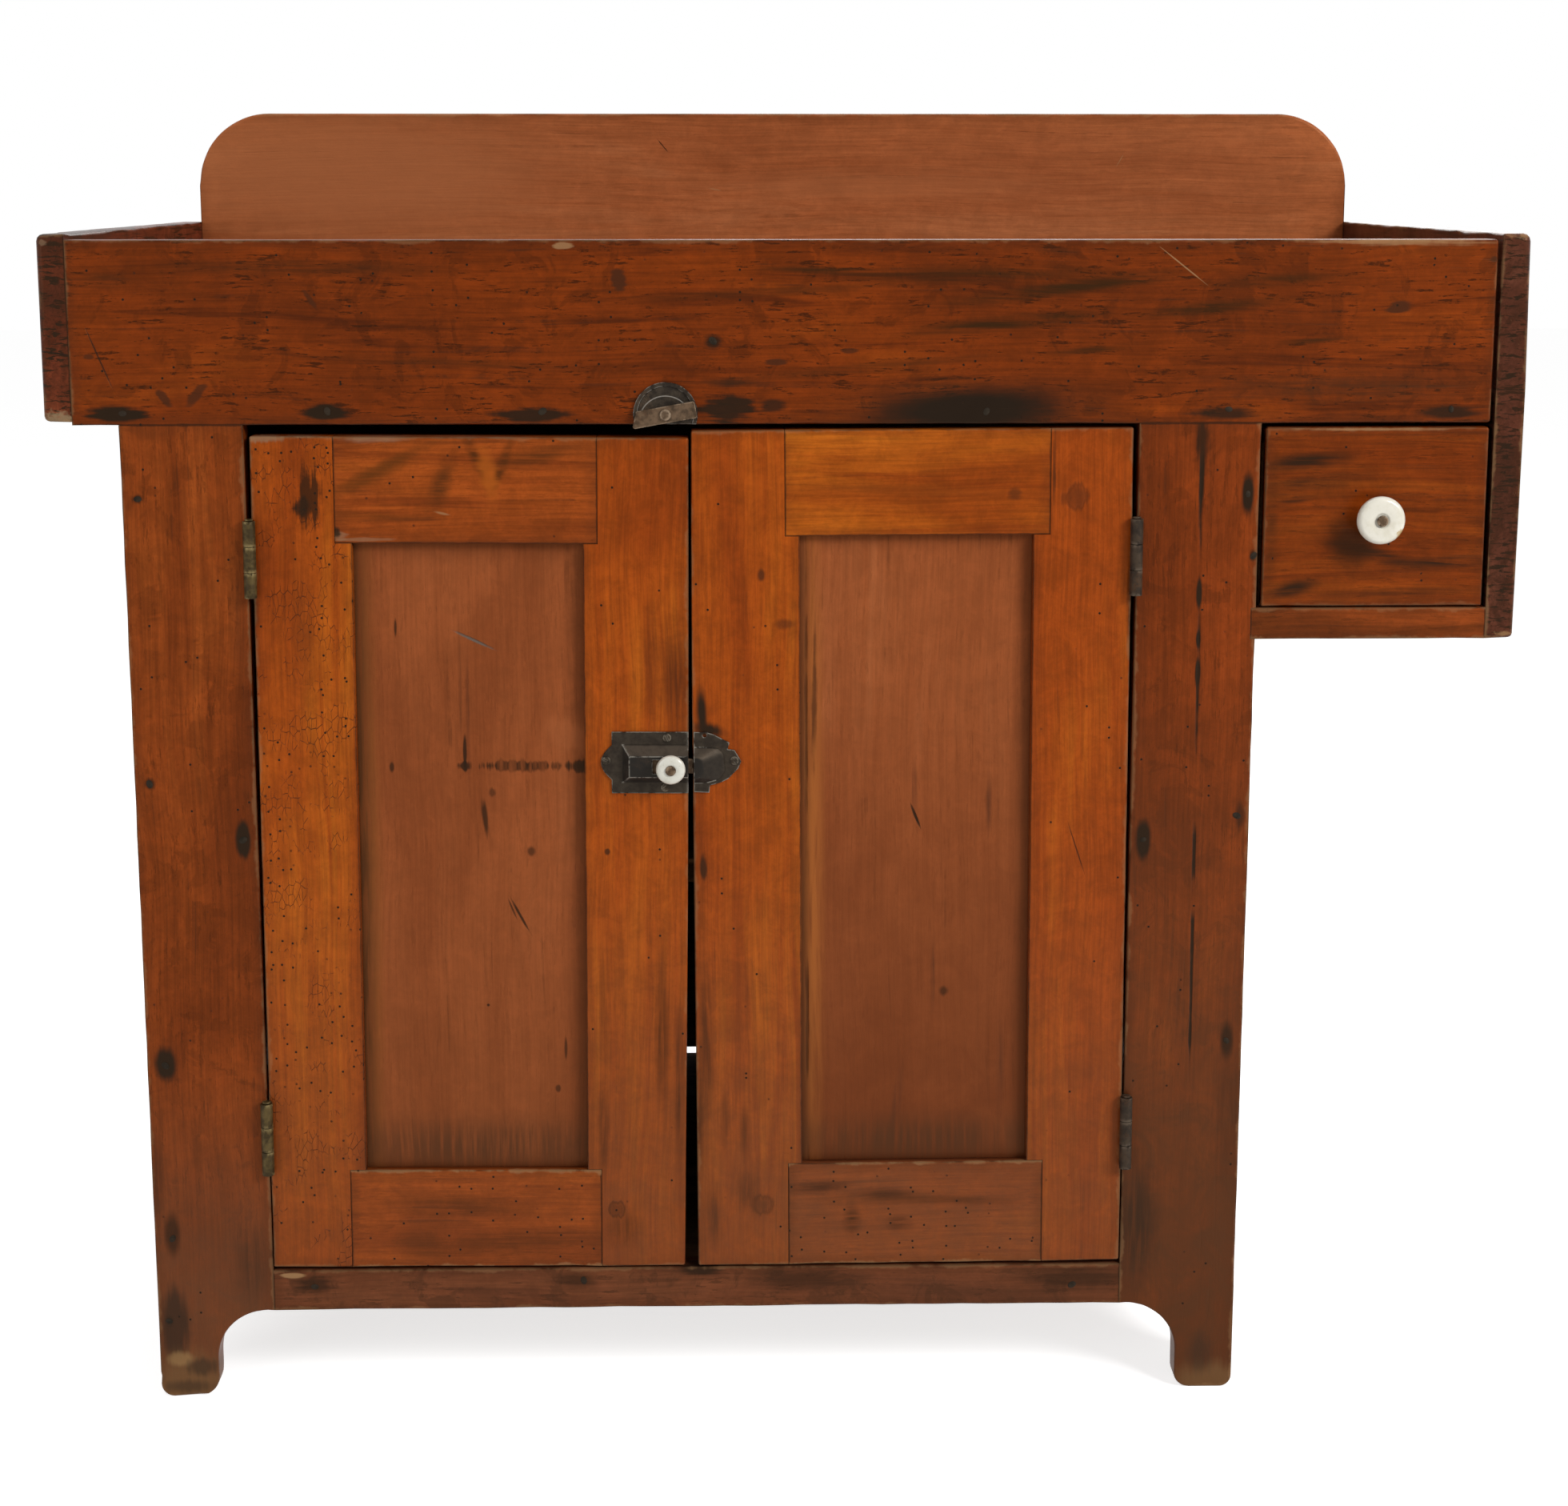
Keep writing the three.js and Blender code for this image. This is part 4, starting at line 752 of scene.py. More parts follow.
        "marks": [
            ("stain", -373.5, 747, 10, 24, 0.35, 0.92, 1.5, 6, (0.022, 0.006, 0.002)),
            ("stain", -378, 740, 6, 8, 0.4, 0.8, 0.9, 8),
            ("dull", -380, 640, 8, 50, 0.8, 0.4, 0.9, 0, (0.09, 0.02, 0.004)),
            ("worn", -405.7, 793.5, 12, 3.2, 0.6, 0.65, 1.3, 0, (0.22, 0.14, 0.08)),
            ("worn", -376, 795.7, 14, 1.8, 0.7, 0.55, 1.3, 0, (0.22, 0.14, 0.08)),
            ("stain", -418, 670, 2.5, 30, 0.7, 0.7)]},
    "left_door_lock_stile": {
        "planed": ("high", [(0.82, 0.0), (0.56, 0.0), (0.418, -0.0007), (0.27, -0.0020), (0.09, -0.0034)]),
        "wood": "door", "slot": "door_wood", "grain": "z", "arris": 0.0017, "grime": 0.2, "dull": 0.5,
        "worms": 0.03,
        "marks": [
            ("ring", -140.1, 160.5, 6.2, 6.2, 0.4, 0.4), ("knot", -140.1, 160.5, 6, 5.6, 0.7, 0.45),
            ("dull", -133, 145, 12, 14, 0.8, 0.6, 0.9, 0, (0.05, 0.014, 0.004)),
            ("dull", -89, 600, 11, 38, 0.8, 0.9, 0.9, 0, (0.06, 0.012, 0.003)),
            ("dull", -108, 615, 6, 42, 0.8, 0.6, 0.9, 0, (0.08, 0.015, 0.003)),
            ("dull", -148, 350, 3, 60, 0.9, 0.5, 0.9, 0, (0.06, 0.015, 0.004)),
            ("dull", -101.4, 309, 5, 52, 0.7, 0.8, 0.9, 0, (0.05, 0.013, 0.004)),
            ("dull", -87.9, 270, 3.5, 60, 0.7, 0.8, 0.9, 0, umber),
            ("dull", -150, 228, 4, 38, 0.7, 0.7, 0.9, 0, umber),
            ("stain", -144, 462, 2.2, 2.6, 0.5, 0.8, 0.6)]},
    "left_door_top_rail": {
        "wood": "rail", "slot": "door_wood", "grain": "x", "arris": 0.0017, "grime": 0.25, "dull": 0.0,
        "worms": 0.03, "tint": {"streak": 0.8},
        "marks": [
            ("dull", -323, 764, 30, 5.5, 0.8, 0.8, 0.9, -25, (0.07, 0.02, 0.003)),
            ("dull", -305, 776, 30, 3.5, 0.8, 0.6, 0.9, -25, (0.07, 0.02, 0.003)),
            ("dull", -270, 757, 6.5, 19, 0.8, 0.85, 0.9, 20, (0.05, 0.014, 0.003)),
            ("dull", -242, 776, 4, 16, 0.7, 0.9, 0.9, -25, (0.045, 0.012, 0.002)),
            ("dull", -223, 770, 3.5, 19, 0.7, 0.9, 0.9, 22, (0.045, 0.012, 0.002)),
            ("light", -233, 764, 6, 18, 0.9, 0.6, 0.9, -10),
            ("dull", -195, 779, 30, 6, 0.8, 0.75, 0.9, -12, (0.05, 0.014, 0.003)),
            ("dull", -320, 732, 40, 3, 0.8, 0.5, 0.9, 3, (0.08, 0.02, 0.003)),
            ("worn", -349.9, 717.5, 5.5, 3.4, 0.6, 0.55, 1.5, 0, (0.24, 0.13, 0.07)),
            ("worn", -330.8, 714, 15, 1.4, 0.7, 0.5, 1.5, 0, (0.24, 0.13, 0.07)),
            ("worn", -321.8, 792.2, 23, 2.4, 0.7, 0.5, 1.5, 0, (0.22, 0.13, 0.08)),
            ("worn", -238.8, 794.8, 56.7, 1.2, 0.8, 0.45, 1.4, 0, (0.22, 0.13, 0.08)),
            ("stain", -352, 720, 3, 4, 0.6, 0.9), ("worn", -270, 734.5, 5, 0.9, 0.6, 0.6, 0.9, 10)]},
    "left_door_bottom_rail": {
        "wood": "rail", "slot": "door_wood", "grain": "x", "arris": 0.0022, "grime": 0.3, "dull": 0.2,
        "worms": 0.14, "rub": 0.5,
        "marks": [
            ("dull", -275, 165, 50, 8, 0.9, 0.6, 0.9, 2, (0.04, 0.012, 0.004)),
            ("dull", -220, 133, 55, 7, 0.9, 0.6, 0.9, -4, (0.04, 0.012, 0.004)),
            ("dull", -300, 130, 16, 13, 0.9, 0.5, 0.9, 0, (0.05, 0.015, 0.005))]},
    "left_door_panel": {
        "wood": "panel", "slot": "panel_wood", "grain": "z", "arris": 0.0008, "grime": 0.6,
        "grimeReach": 0.03, "dull": 0.4, "rub": 0.0, "dullColor": (0.120, 0.034, 0.011), "face": panelFace,
        "marks": [
            ("scratch", -248, 632.5, 15.1, 1.1, 0.6, 0.9, 0.4, 25, (0.11, 0.092, 0.075)),
            ("dull", -335.5, 450.5, 8, 249, 0.8, 0.7, 0.25, 0, (0.32, 0.092, 0.02)),
            ("dull", -259.4, 600.3, 1, 37.8, 0.8, 0.8, 0.9, 0, (0.07, 0.02, 0.008)),
            ("scratch", -214.9, 406.7, 0.9, 14, 0.6, 0.9, 0.5, -28),
            ("scratch", -221.5, 413, 0.6, 8, 0.6, 0.7, 0.5, -22),
            ("stain", -309.3, 642.5, 1.1, 7, 0.5, 0.8, 0.5), ("stain", -256.7, 543, 1.4, 12, 0.5, 0.9, 0.8),
            ("stain", -315.1, 530, 1.8, 4, 0.5, 0.8, 0.5), ("stain", -235.5, 509, 3, 3.5, 0.6, 0.6),
            ("stain", -180.2, 295.1, 1.1, 8, 0.5, 0.7, 0.5),
            ("stain", -186.9, 261.3, 2.2, 3.2, 0.5, 0.7, 0.5),
            ("stain", -242.3, 332.5, 1.2, 1.2, 0.5, 0.9, 0.3),
            ("stain", -346, 595.5, 1.4, 1.8, 0.5, 0.9, 0.3), ("stain", -205.6, 460.4, 3.3, 3.6, 0.6, 0.7),
            ("stain", -242, 490, 2.4, 15, 0.6, 0.85, 1, -6),
            ("dull", -214, 530.8, 38, 3.4, 0.4, 1, 2.6, 0, (0.01, 0.005, 0.003)),
            ("stain", -258, 530.8, 4.5, 3.4, 0.4, 0.9, 1.2), ("stain", -166, 530, 10, 4.5, 0.5, 0.9, 1.6),
            ("dull", -344, 450, 13, 360, 0.7, 0.85, 0.5, 0, (0.045, 0.018, 0.007)),
            ("dull", -250, 213, 110, 19, 0.9, 0.8, 0.3, 0, (0.05, 0.02, 0.009)),
            ("dull", -253.7, 570, 1.2, 40, 0.8, 0.7, 0.9, 0, (0.05, 0.014, 0.007)),
            ("light", -175, 556, 18, 11, 0.5, 0.5, 0.9, 30)]},
    "right_door_hinge_stile": {
        "wood": "door", "slot": "door_wood", "grain": "z", "arris": 0.0017, "grime": 0.18, "dull": 0.45,
        "worms": 0.05, "tint": {"mid": (0.2541, 0.0427, 0.0038), "light": (0.3346, 0.0741, 0.0057)},
        "marks": [
            ("ring", 224.8, 746, 8.5, 8.5, 0.4, 0.3), ("knot", 224.8, 746, 8.5, 8, 0.7, 0.55),
            ("scratch", 231, 463, 0.5, 18, 0.6, 0.7, 0.4, -18), ("stain", 208, 760, 1.5, 30, 0.9, 0.7, 1.6),
            ("stain", 270, 664, 2.5, 34, 0.7, 0.7)]},
    "right_door_lock_stile": {
        "planed": ("low", [(0.82, -0.0012), (0.76, -0.0018), (0.66, -0.0027), (0.58, -0.0031),
                           (0.09, -0.0031)]),
        "wood": "door", "slot": "door_wood", "grain": "z", "arris": 0.0017, "grime": 0.2, "dull": 0.55,
        "worms": 0.04, "tint": {"streak": 0.5},
        "marks": [
            ("ring", -20.9, 163.6, 7.5, 7.5, 0.4, 0.3),
            ("dull", -20.9, 163.6, 7.5, 7, 0.8, 0.7, 0.9, 0, (0.06, 0.022, 0.01)),
            ("knot", -20.9, 685, 3, 4.5, 0.6, 0.8), ("stain", -68.3, 574.8, 3.8, 17.6, 0.7, 1, 0.4, -3),
            ("stain", -62.7, 561.2, 10.7, 5, 0.8, 1, 0.5, 14),
            ("dull", -72.1, 243.2, 3.8, 37.8, 0.8, 0.8, 0.9, 0, umber),
            ("dull", -51.3, 236.2, 2.5, 18.9, 0.8, 0.8, 0.9, 0, (0.07, 0.02, 0.007)),
            ("dull", -35, 225.8, 3.2, 18.9, 0.8, 0.85, 0.9, 0, (0.07, 0.02, 0.007)),
            ("dull", -60.2, 153.6, 5.7, 21.4, 0.8, 0.8, 0.9, 0, (0.06, 0.02, 0.009)),
            ("dull", -32.6, 174.1, 8.8, 13.9, 0.9, 0.7, 1.4, 0, (0.05, 0.018, 0.008)),
            ("stain", -67.7, 448, 2.5, 8.8, 0.6, 0.85, 1.2),
            ("dull", -66, 305, 5, 60, 0.7, 0.8, 0.9, 0, umber), ("knot", -1, 646, 8, 3.5, 0.8, 0.6)]},
    "right_door_top_rail": {
        "wood": "door", "slot": "door_wood", "grain": "x", "arris": 0.0017, "grime": 0.2, "dull": 0.0,
        "tint": {"mid": (0.3379, 0.0739, 0.0052), "light": (0.5123, 0.1456, 0.0095), "streak": 0.5},
        "marks": [
            ("knot", 177.7, 749, 4.8, 4.5, 0.7, 0.6),
            ("dull", 90, 752, 80, 4, 0.9, 0.4, 0.9, 2, (0.14, 0.035, 0.004))]},
    "right_door_bottom_rail": {
        "wood": "rail", "slot": "door_wood", "grain": "x", "arris": 0.0020, "grime": 0.3, "dull": 0.6,
        "worms": 0.3, "rub": 0.45,
        "marks": [
            ("dull", 52.8, 149.8, 5.7, 10.1, 0.9, 0.9, 0.9, 0, (0.03, 0.01, 0.004)),
            ("dull", 26.4, 178.5, 18.9, 5, 0.8, 0.85, 0.9, -3, cocoa),
            ("dull", 78.9, 171.8, 21.4, 4.4, 0.8, 0.85, 0.9, 2, cocoa),
            ("dull", 90.9, 146.7, 8.8, 5.7, 0.8, 0.8, 0.9, 0, cocoa),
            ("dull", 141.4, 165.7, 37.8, 3.2, 0.9, 0.7, 0.9, 2, (0.05, 0.015, 0.006)),
            ("dull", 90, 168, 50, 5, 0.9, 0.5, 0.9, 0, (0.05, 0.015, 0.005))]},
    "right_door_panel": {
        "wood": "panel", "slot": "panel_wood", "grain": "z", "arris": 0.0008, "grime": 0.6,
        "grimeReach": 0.028, "dull": 0.85, "rub": 0.0, "dullTop": 0.6, "dullColor": (0.110, 0.026, 0.008),
        "face": panelFace,
        "marks": [
            ("scratch", 102.3, 488.4, 0.9, 9.8, 0.6, 1, 0.5, -22),
            ("dull", 19.6, 461.8, 7.5, 243, 0.8, 0.85, 0.25, 0, (0.33, 0.1, 0.022)),
            ("crack", 15.1, 448.6, 1.2, 233, 0.9, 0.6, 1.5, 0, None, 14),
            ("dull", 117.8, 354.3, 1.3, 21.4, 0.7, 0.9, 0.9, 0, (0.05, 0.016, 0.008)),
            ("stain", 127, 342.1, 3.2, 3.2, 0.8, 0.7, 0.8),
            ("dull", 161.3, 497.4, 1.9, 18.9, 0.8, 0.8, 0.9, 0, russet),
            ("dull", 101.5, 510.8, 1.9, 16.4, 0.8, 0.7, 0.9, 0, (0.08, 0.022, 0.01)),
            ("dull", 173.6, 272.4, 2.5, 31.5, 0.8, 0.7, 0.9, 0, russet),
            ("dull", 88.8, 245.6, 3.2, 25.2, 0.8, 0.7, 0.9, 8, russet),
            ("stain", 21, 590, 1.8, 42, 0.9, 0.6, 2),
            ("dull", 8, 450, 8, 360, 0.7, 0.7, 0.5, 0, (0.05, 0.019, 0.008)),
            ("dull", 105, 216, 100, 17, 0.9, 0.8, 0.3, 0, (0.05, 0.02, 0.009))]},
}

caseSide = {"wood": "stile", "slot": "case_wood", "grain": "z", "arris": 0.0018, "dull": 0.6}
trayFloor = {"wood": "tray", "slot": "tray_wood", "grain": "x", "arris": 0.0010}
inner = {"wood": "inner", "slot": "inner_wood", "grain": "x", "arris": 0.0010}
low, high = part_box("shelf")
boards |= {
    "left_side": {**caseSide}, "right_side": {**caseSide},
    **{f"tray_floor_board_{k}": {**trayFloor} for k in (1, 2, 3)},
    "cabinet_floor": {**inner},
    "shelf": {**inner, "arris": 0.0012, "face": low.y, "marks": [  # its front edge is dark
        ("stain", 500 * (low.x + high.x), 500 * (low.z + high.z) - 2, 600, 8.5, 0.3, 0.85, 0, 0,
         (0.012, 0.006, 0.003))]},
}
for k in (1, 2, 3, 4):  # the back boards are nailed flush to the sides
    low, high = (1000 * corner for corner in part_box(f"back_board_{k}"))
    places = [(x, low.z + (high.z - low.z) * share)
              for x in (low.x + 11, high.x - 11) for share in (0.22, 0.78)]
    boards[f"back_board_{k}"] = {**inner, "arris": 0.0005, "face": high.y / 1000, "marks": [
        mark for place in places for mark in (("dull", *place, 7, 9, 0.9, 0.8, 0.9, 0, (0.060, 0.034, 0.018)),
                                              ("stain", *place, 2.9, 2.4, 0.25, 1, 0.15))]}
boards |= {
    "drawer_bay_back": {**inner, "arris": 0.0012},
    "drawer_left_side": {**inner, "grain": "y"}, "drawer_right_side": {**inner, "grain": "y"},
    "drawer_back": {**inner}, "drawer_bottom": {**inner, "arris": 0.0008},
}
outerSides = {"left_door_hinge_stile": "xLow", "left_door_lock_stile": "xHigh",
              "right_door_hinge_stile": "xHigh", "right_door_lock_stile": "xLow"}

for node, board in boards.items():
    if "_door_" in node:
        board["lean"] = leans[node.split("_")[0]]
        if node in outerSides:
            board["rubbed"] = {outerSides[node], "zLow", "zHigh"}
        elif "top_rail" in node:
            board["rubbed"] = {"zHigh"}
    makeBoard(node, {**usualBoard, **board})
print("boards made:", len(boards))


# Old iron and tarnished brass

def metalMaterial(name, metal):
    paint = Paint(bpy.data.materials.new(name))
    place = paint.place()
    cloud = paint.noise(place, 160.0, 4.0, 0.6)
    grain = paint.noise(place, 900.0, 3.0, 0.7)
    patch = paint.noise(place, 55.0, 3.0, 0.6, 0.5)
    ridge, hollow = (paint.node("ShaderNodeAttribute", {"attribute_name": layer}, output="Fac")
                     for layer in ("ridge", "hollow"))
    color = paint.mix(metal["dark"], metal["mid"], cloud.ramp(0.35, 0.65))
    x, y, z = paint.split(place)
    if "slope" in metal:  # painted light on the hood: its sides that face up get a paler painted reflection, its flat top and its sides that face away get painted shade
        upward = paint.split(paint.node("ShaderNodeNewGeometry", output="Normal"))[2].ramp(0.15, 0.5)
        raised, flat = (y.ramp(*levels) for levels in (metal["foot"], metal["top"]))
        color = paint.mix(color, metal["slope"],
                          raised * (1.0 - flat) * upward * cloud.ramp(0.3, 0.6, 0.6, 1.0))
        color = paint.mix(color, metal["flat"], flat.high(raised * (1.0 - upward) * 0.45))
    color = paint.mix(color, metal["rust"],
                      patch.ramp(0.5, 0.68) * grain.ramp(0.35, 0.6) * metal["rustShare"])
    if "arc" in metal:  # a pale line scratched by the turning bar
        centreX, centreZ, radius = metal["arc"]
        reach = ((x - centreX).math("POWER", 2.0) + (z - centreZ).math("POWER", 2.0)).math("SQRT")
        line = (reach - radius).size().ramp(0.0002, 0.0006, 0.6, 0.0) * z.ramp(centreZ, centreZ + 0.01)
        color = paint.mix(color, metal["bright"], line)
    # painted shade: nearly black along the sharp hollows, such as the screw slots
    color = paint.mix(color, (0.004, 0.003, 0.002), hollow.ramp(0.3, 1.0, 0.0, 0.85))
    # painted highlight: a pale line along the sharp ridges, broken into patches
    edge = ridge.ramp(0.25, 0.8) * cloud.ramp(0.42, 0.56)
    color = paint.mix(color, metal["bright"], edge * metal["edgeShare"])
    roughness = (metal["rough"] + (grain - 0.5) * 0.3 - edge * 0.15).high(0.15)
    metallic = metal["metallic"] * (1.0 - 0.6 * patch.ramp(0.5, 0.68))
    return paint.finish(color, roughness, 0.6 * grain + cloud, metal["relief"], metallic=metallic,
                        specular=0.2, tint=(1.0, 0.8, 0.6))


# Each metal's pale colour serves both the scratched arc and the painted highlight along its ridges.
metals = {
    # For the keeper's hood the iron also carries painted light: a paler reflection for its sides that face up and
    # a near black shade for its flat top.
    "iron": {"dark": (0.013, 0.010, 0.008), "mid": (0.028, 0.022, 0.016), "bright": (0.28, 0.26, 0.22),
             "slope": (0.054, 0.041, 0.030), "flat": (0.008, 0.008, 0.008),
             "foot": (-0.2648, -0.2656), "top": (-0.2714, -0.2719),
             "rust": (0.060, 0.036, 0.021), "rustShare": 0.25, "edgeShare": 0.75, "rough": 0.42,
             "metallic": 0.15, "relief": 0.00008},
    "plate": {"dark": (0.009, 0.007, 0.006), "mid": (0.033, 0.025, 0.018), "bright": (0.34, 0.31, 0.27),
              "arc": (-0.0950, 0.8050, 0.0205),
              "rust": (0.070, 0.045, 0.028), "rustShare": 0.7, "edgeShare": 0.95, "rough": 0.5,
              "metallic": 0.1, "relief": 0.0005},
    "hinge": {"dark": (0.014, 0.010, 0.008), "mid": (0.040, 0.027, 0.018), "bright": (0.12, 0.09, 0.065),
              "rust": (0.055, 0.024, 0.010), "rustShare": 0.8, "edgeShare": 0.5, "rough": 0.55,
              "metallic": 0.15, "relief": 0.0002},
    "brass": {"dark": (0.030, 0.020, 0.008), "mid": (0.090, 0.062, 0.022), "bright": (0.24, 0.18, 0.08),
              "rust": (0.045, 0.028, 0.011), "rustShare": 0.8, "edgeShare": 0.6, "rough": 0.45,
              "metallic": 0.3, "relief": 0.00015},
    "bar": {"dark": (0.040, 0.025, 0.015), "mid": (0.125, 0.078, 0.046), "bright": (0.30, 0.22, 0.15),
            "rust": (0.085, 0.042, 0.021), "rustShare": 0.7, "edgeShare": 0.7, "rough": 0.5,
            "metallic": 0.1, "relief": 0.0003},
    "screw": {"dark": (0.014, 0.011, 0.008), "mid": (0.040, 0.031, 0.022), "bright": (0.20, 0.17, 0.13),
              "rust": (0.045, 0.026, 0.015), "rustShare": 0.6, "edgeShare": 0.5, "rough": 0.45,
              "metallic": 0.15, "relief": 0.0001},
    "nail": {"dark": (0.008, 0.006, 0.004), "mid": (0.022, 0.016, 0.011), "bright": (0.10, 0.08, 0.06),
             "rust": (0.030, 0.018, 0.010), "rustShare": 0.8, "edgeShare": 0.3, "rough": 0.75,
             "metallic": 0.0, "relief": 0.0003},
}
metalPaints = {name: metalMaterial("old_" + name, metal) for name, metal in metals.items()}


def sharpPoints(piece, convex):  # points along the sharp edges that stand out, or along those that lie deep
    grid = bmesh.new()
    grid.from_mesh(piece.data)
    points = []
    for edge in grid.edges:
        sharp = len(edge.link_faces) == 2 and edge.calc_face_angle(0.0) >= math.radians(20)
        if sharp and edge.is_convex == convex:
            start, end = (v.co.copy() for v in edge.verts)
            count = max(1, round((end - start).length / 0.0004))
            points += [start.lerp(end, i / count) for i in range(count + 1)]
    grid.free()
    return points


def markNear(piece, name, points, reach):  # 1 on the points, fading away from them
    tree = nearest(points)
    layer = piece.data.attributes.new(name, "FLOAT", "POINT")
    for corner in piece.data.vertices:
        layer.data[corner.index].value = math.exp(-tree.find(corner.co)[2] / reach) if points else 0.0


def ageMetal(piece, width, fineness, lumps):
    mergeCopy(piece)
    ridges, hollows = sharpPoints(piece, True), sharpPoints(piece, False)
    setBevel(piece, width, 2, limit_method="ANGLE", angle_limit=math.radians(32))
    applyAll(piece)
    with editing(piece):
        bpy.ops.mesh.quads_convert_to_tris()
    for level in range(fineness):
        longEdges(piece, 0.0035 / (1.6 ** level))
    texture = bpy.data.textures.new(piece.name + "_dents", "CLOUDS")
    texture.noise_scale, texture.noise_depth = 0.011, 2
    dents = piece.modifiers.new("dents", "DISPLACE")
    dents.texture, dents.texture_coords = texture, "LOCAL"
    dents.strength, dents.mid_level = lumps, 0.9
    applyAll(piece)
    # the ridges are kept for a painted highlight and the hollows for painted shade
    markNear(piece, "ridge", ridges, 0.0007)
    markNear(piece, "hollow", hollows, 0.0006)
    selectOnly(piece)
    bpy.ops.object.shade_smooth_by_angle(angle=math.radians(40))


def makeMetal(node, metal, slotName, width, fineness, lumps):
    piece = copyOf(node, node + "_old")
    ageMetal(piece, width, fineness, lumps)
    finishPiece(piece, trees[node][0], slotName, metalPaints[metal], node)


def longEdges(piece, reach):  # halves every edge longer than reach
    with editing(piece, "DESELECT"):
        bpy.ops.mesh.select_mode(type="EDGE")
        if choose(piece, "edges", lambda edge: edge.calc_length() > reach):
            bpy.ops.mesh.subdivide(number_cuts=1)
            bpy.ops.mesh.select_all(action="SELECT")
            bpy.ops.mesh.quads_convert_to_tris()


ironNodes = {
    "latch_case": "iron", "latch_bolt": "bar", "latch_knob_rivet": "bar", "latch_spring": "bar",
    "turn_button_plate": "plate", "turn_button_bar": "bar", "turn_button_rivet": "bar",
    "drawer_knob_screw": "bar",
}
for node, metal in ironNodes.items():
    small = node in ("latch_spring", "latch_knob_rivet", "drawer_knob_screw", "turn_button_rivet")
    lumps = {"turn_button_plate": 0.0006, "latch_case": 0.00025}.get(node, 0.0001)
    makeMetal(node, metal, "iron", 0.0002 if small else 0.0004, 1 if small else 4, lumps)
for side, metal, slotName in (("left", "brass", "aged_brass"), ("right", "hinge", "iron")):
    for level in ("lower", "upper"):
        for part in ("case_leaf", "door_leaf", "hinge_pin"):
            makeMetal(f"{side}_door_{level}_{part}", metal, slotName, 0.0003, 2, 0.0002)


# The keeper: a cast plate with a raised hood, its right side broken

def castOutline(name, corners, depth):  # a flat outline of (x, z) in mm, moved into place corner by corner
    bpy.ops.object.select_all(action="DESELECT")
    middleX = sum(x for x, z in corners) / len(corners) / 1000
    middleZ = sum(z for x, z in corners) / len(corners) / 1000
    bpy.ops.mesh.primitive_circle_add(vertices=len(corners), radius=0.01, fill_type="NGON",
                                      location=(middleX, depth, middleZ), rotation=lyingAlongY)
    piece = added(name)
    settle()
    moveCorners(piece, range(len(corners)), [(x / 1000, depth, z / 1000) for x, z in corners])
    return piece


def moveCorners(piece, chosen, targets):
    with editing(piece):
        bpy.ops.mesh.select_mode(type="VERT")
        for i, target in zip(chosen, targets):
            bpy.ops.mesh.select_all(action="DESELECT")
            grid = bmesh.from_edit_mesh(piece.data)
            grid.verts.ensure_lookup_table()
            grid.verts[i].select_set(True)
            way = Vector(target) - grid.verts[i].co
            bmesh.update_edit_mesh(piece.data)
            bpy.ops.transform.translate(value=way)


def pull(piece, way):  # extrudes the whole outline by way
    with editing(piece):
        bpy.ops.mesh.extrude_region_move(TRANSFORM_OT_translate={"value": way})
        turnOutward()


def combine(piece, other, operation):
    change = piece.modifiers.new("change", "BOOLEAN")
    change.operation, change.object, change.solver = operation, other, "EXACT"
    applyAll(piece)
    bpy.data.objects.remove(other)


keeper = {
    "plate": 0.0018, "rise": 0.0095, "side": -74.64,
    "outline": [(-74.64, 559.65), (-64.6, 559.3), (-58.5, 557.4), (-46.4, 550.8), (-47.8, 545.6),
                (-42.4, 544.9), (-37.02, 535.7), (-39.7, 529.8), (-47.1, 522.0), (-53.1, 518.7),
                (-61.9, 516.4), (-62.5, 510.5), (-74.64, 511.1)],
    "hoodFoot": [(-82.6, 548.2), (-55.8, 547.9), (-49.1, 543.0), (-47.8, 527.9), (-53.1, 520.7),
                 (-64.6, 517.7), (-82.6, 517.4)],
    "hoodTop": [(-82.6, 539.5), (-71.5, 540.0), (-68.5, 536.8), (-67.8, 529.0), (-69.5, 525.4),
                (-72.5, 523.4), (-82.6, 522.8)], "softness": 0.0022,
    "hole": (-0.0660, 0.5570, 0.0017), "mouth": (-0.0740, 0.5332, 0.0130, 0.0060, 0.0135),
}


def makeKeeper():
    top = doorFace - keeper["rise"]
    plate = castOutline("latch_keeper_cast", keeper["outline"], doorFace)
    pull(plate, (0, -keeper["plate"], 0))
    hood = castOutline("hood", keeper["hoodFoot"], doorFace - 0.001)
    pull(hood, (0, top - doorFace + 0.001, 0))
    raised = [v.index for v in hood.data.vertices if v.co.y < doorFace - 0.005]
    feet = nearest([(x / 1000, 0, z / 1000) for x, z in keeper["hoodFoot"]])
    targets = []
    for i in raised:
        corner = hood.data.vertices[i].co
        x, z = keeper["hoodTop"][feet.find((corner.x, 0, corner.z))[1]]
        targets.append((x / 1000, top, z / 1000))
    moveCorners(hood, raised, targets)
    setBevel(hood, keeper["softness"], 4, limit_method="ANGLE", angle_limit=math.radians(12))
    applyAll(hood)
    with editing(hood):
        bisect((keeper["side"] / 1000, 0, 0), (1, 0, 0), clear_inner=True, use_fill=True)
    combine(plate, hood, "UNION")
    x, z, radius = keeper["hole"]
    bpy.ops.mesh.primitive_cylinder_add(vertices=20, radius=radius, depth=0.01, location=(x, doorFace, z),
                                        rotation=lyingAlongY)
    combine(plate, bpy.context.object, "DIFFERENCE")
    x, z, wide, deep, high = keeper["mouth"]
    bpy.ops.mesh.primitive_cube_add(size=1.0, location=(x, doorFace - 0.0045, z))
    bpy.context.object.scale = (wide, deep, high)
    combine(plate, bpy.context.object, "DIFFERENCE")
    ageMetal(plate, 0.0003, 4, 0.0001)
    finishPiece(plate, "right_door", "iron", metalPaints["iron"], "latch_keeper")


makeKeeper()
print("ironwork made")


# Porcelain knobs, turned

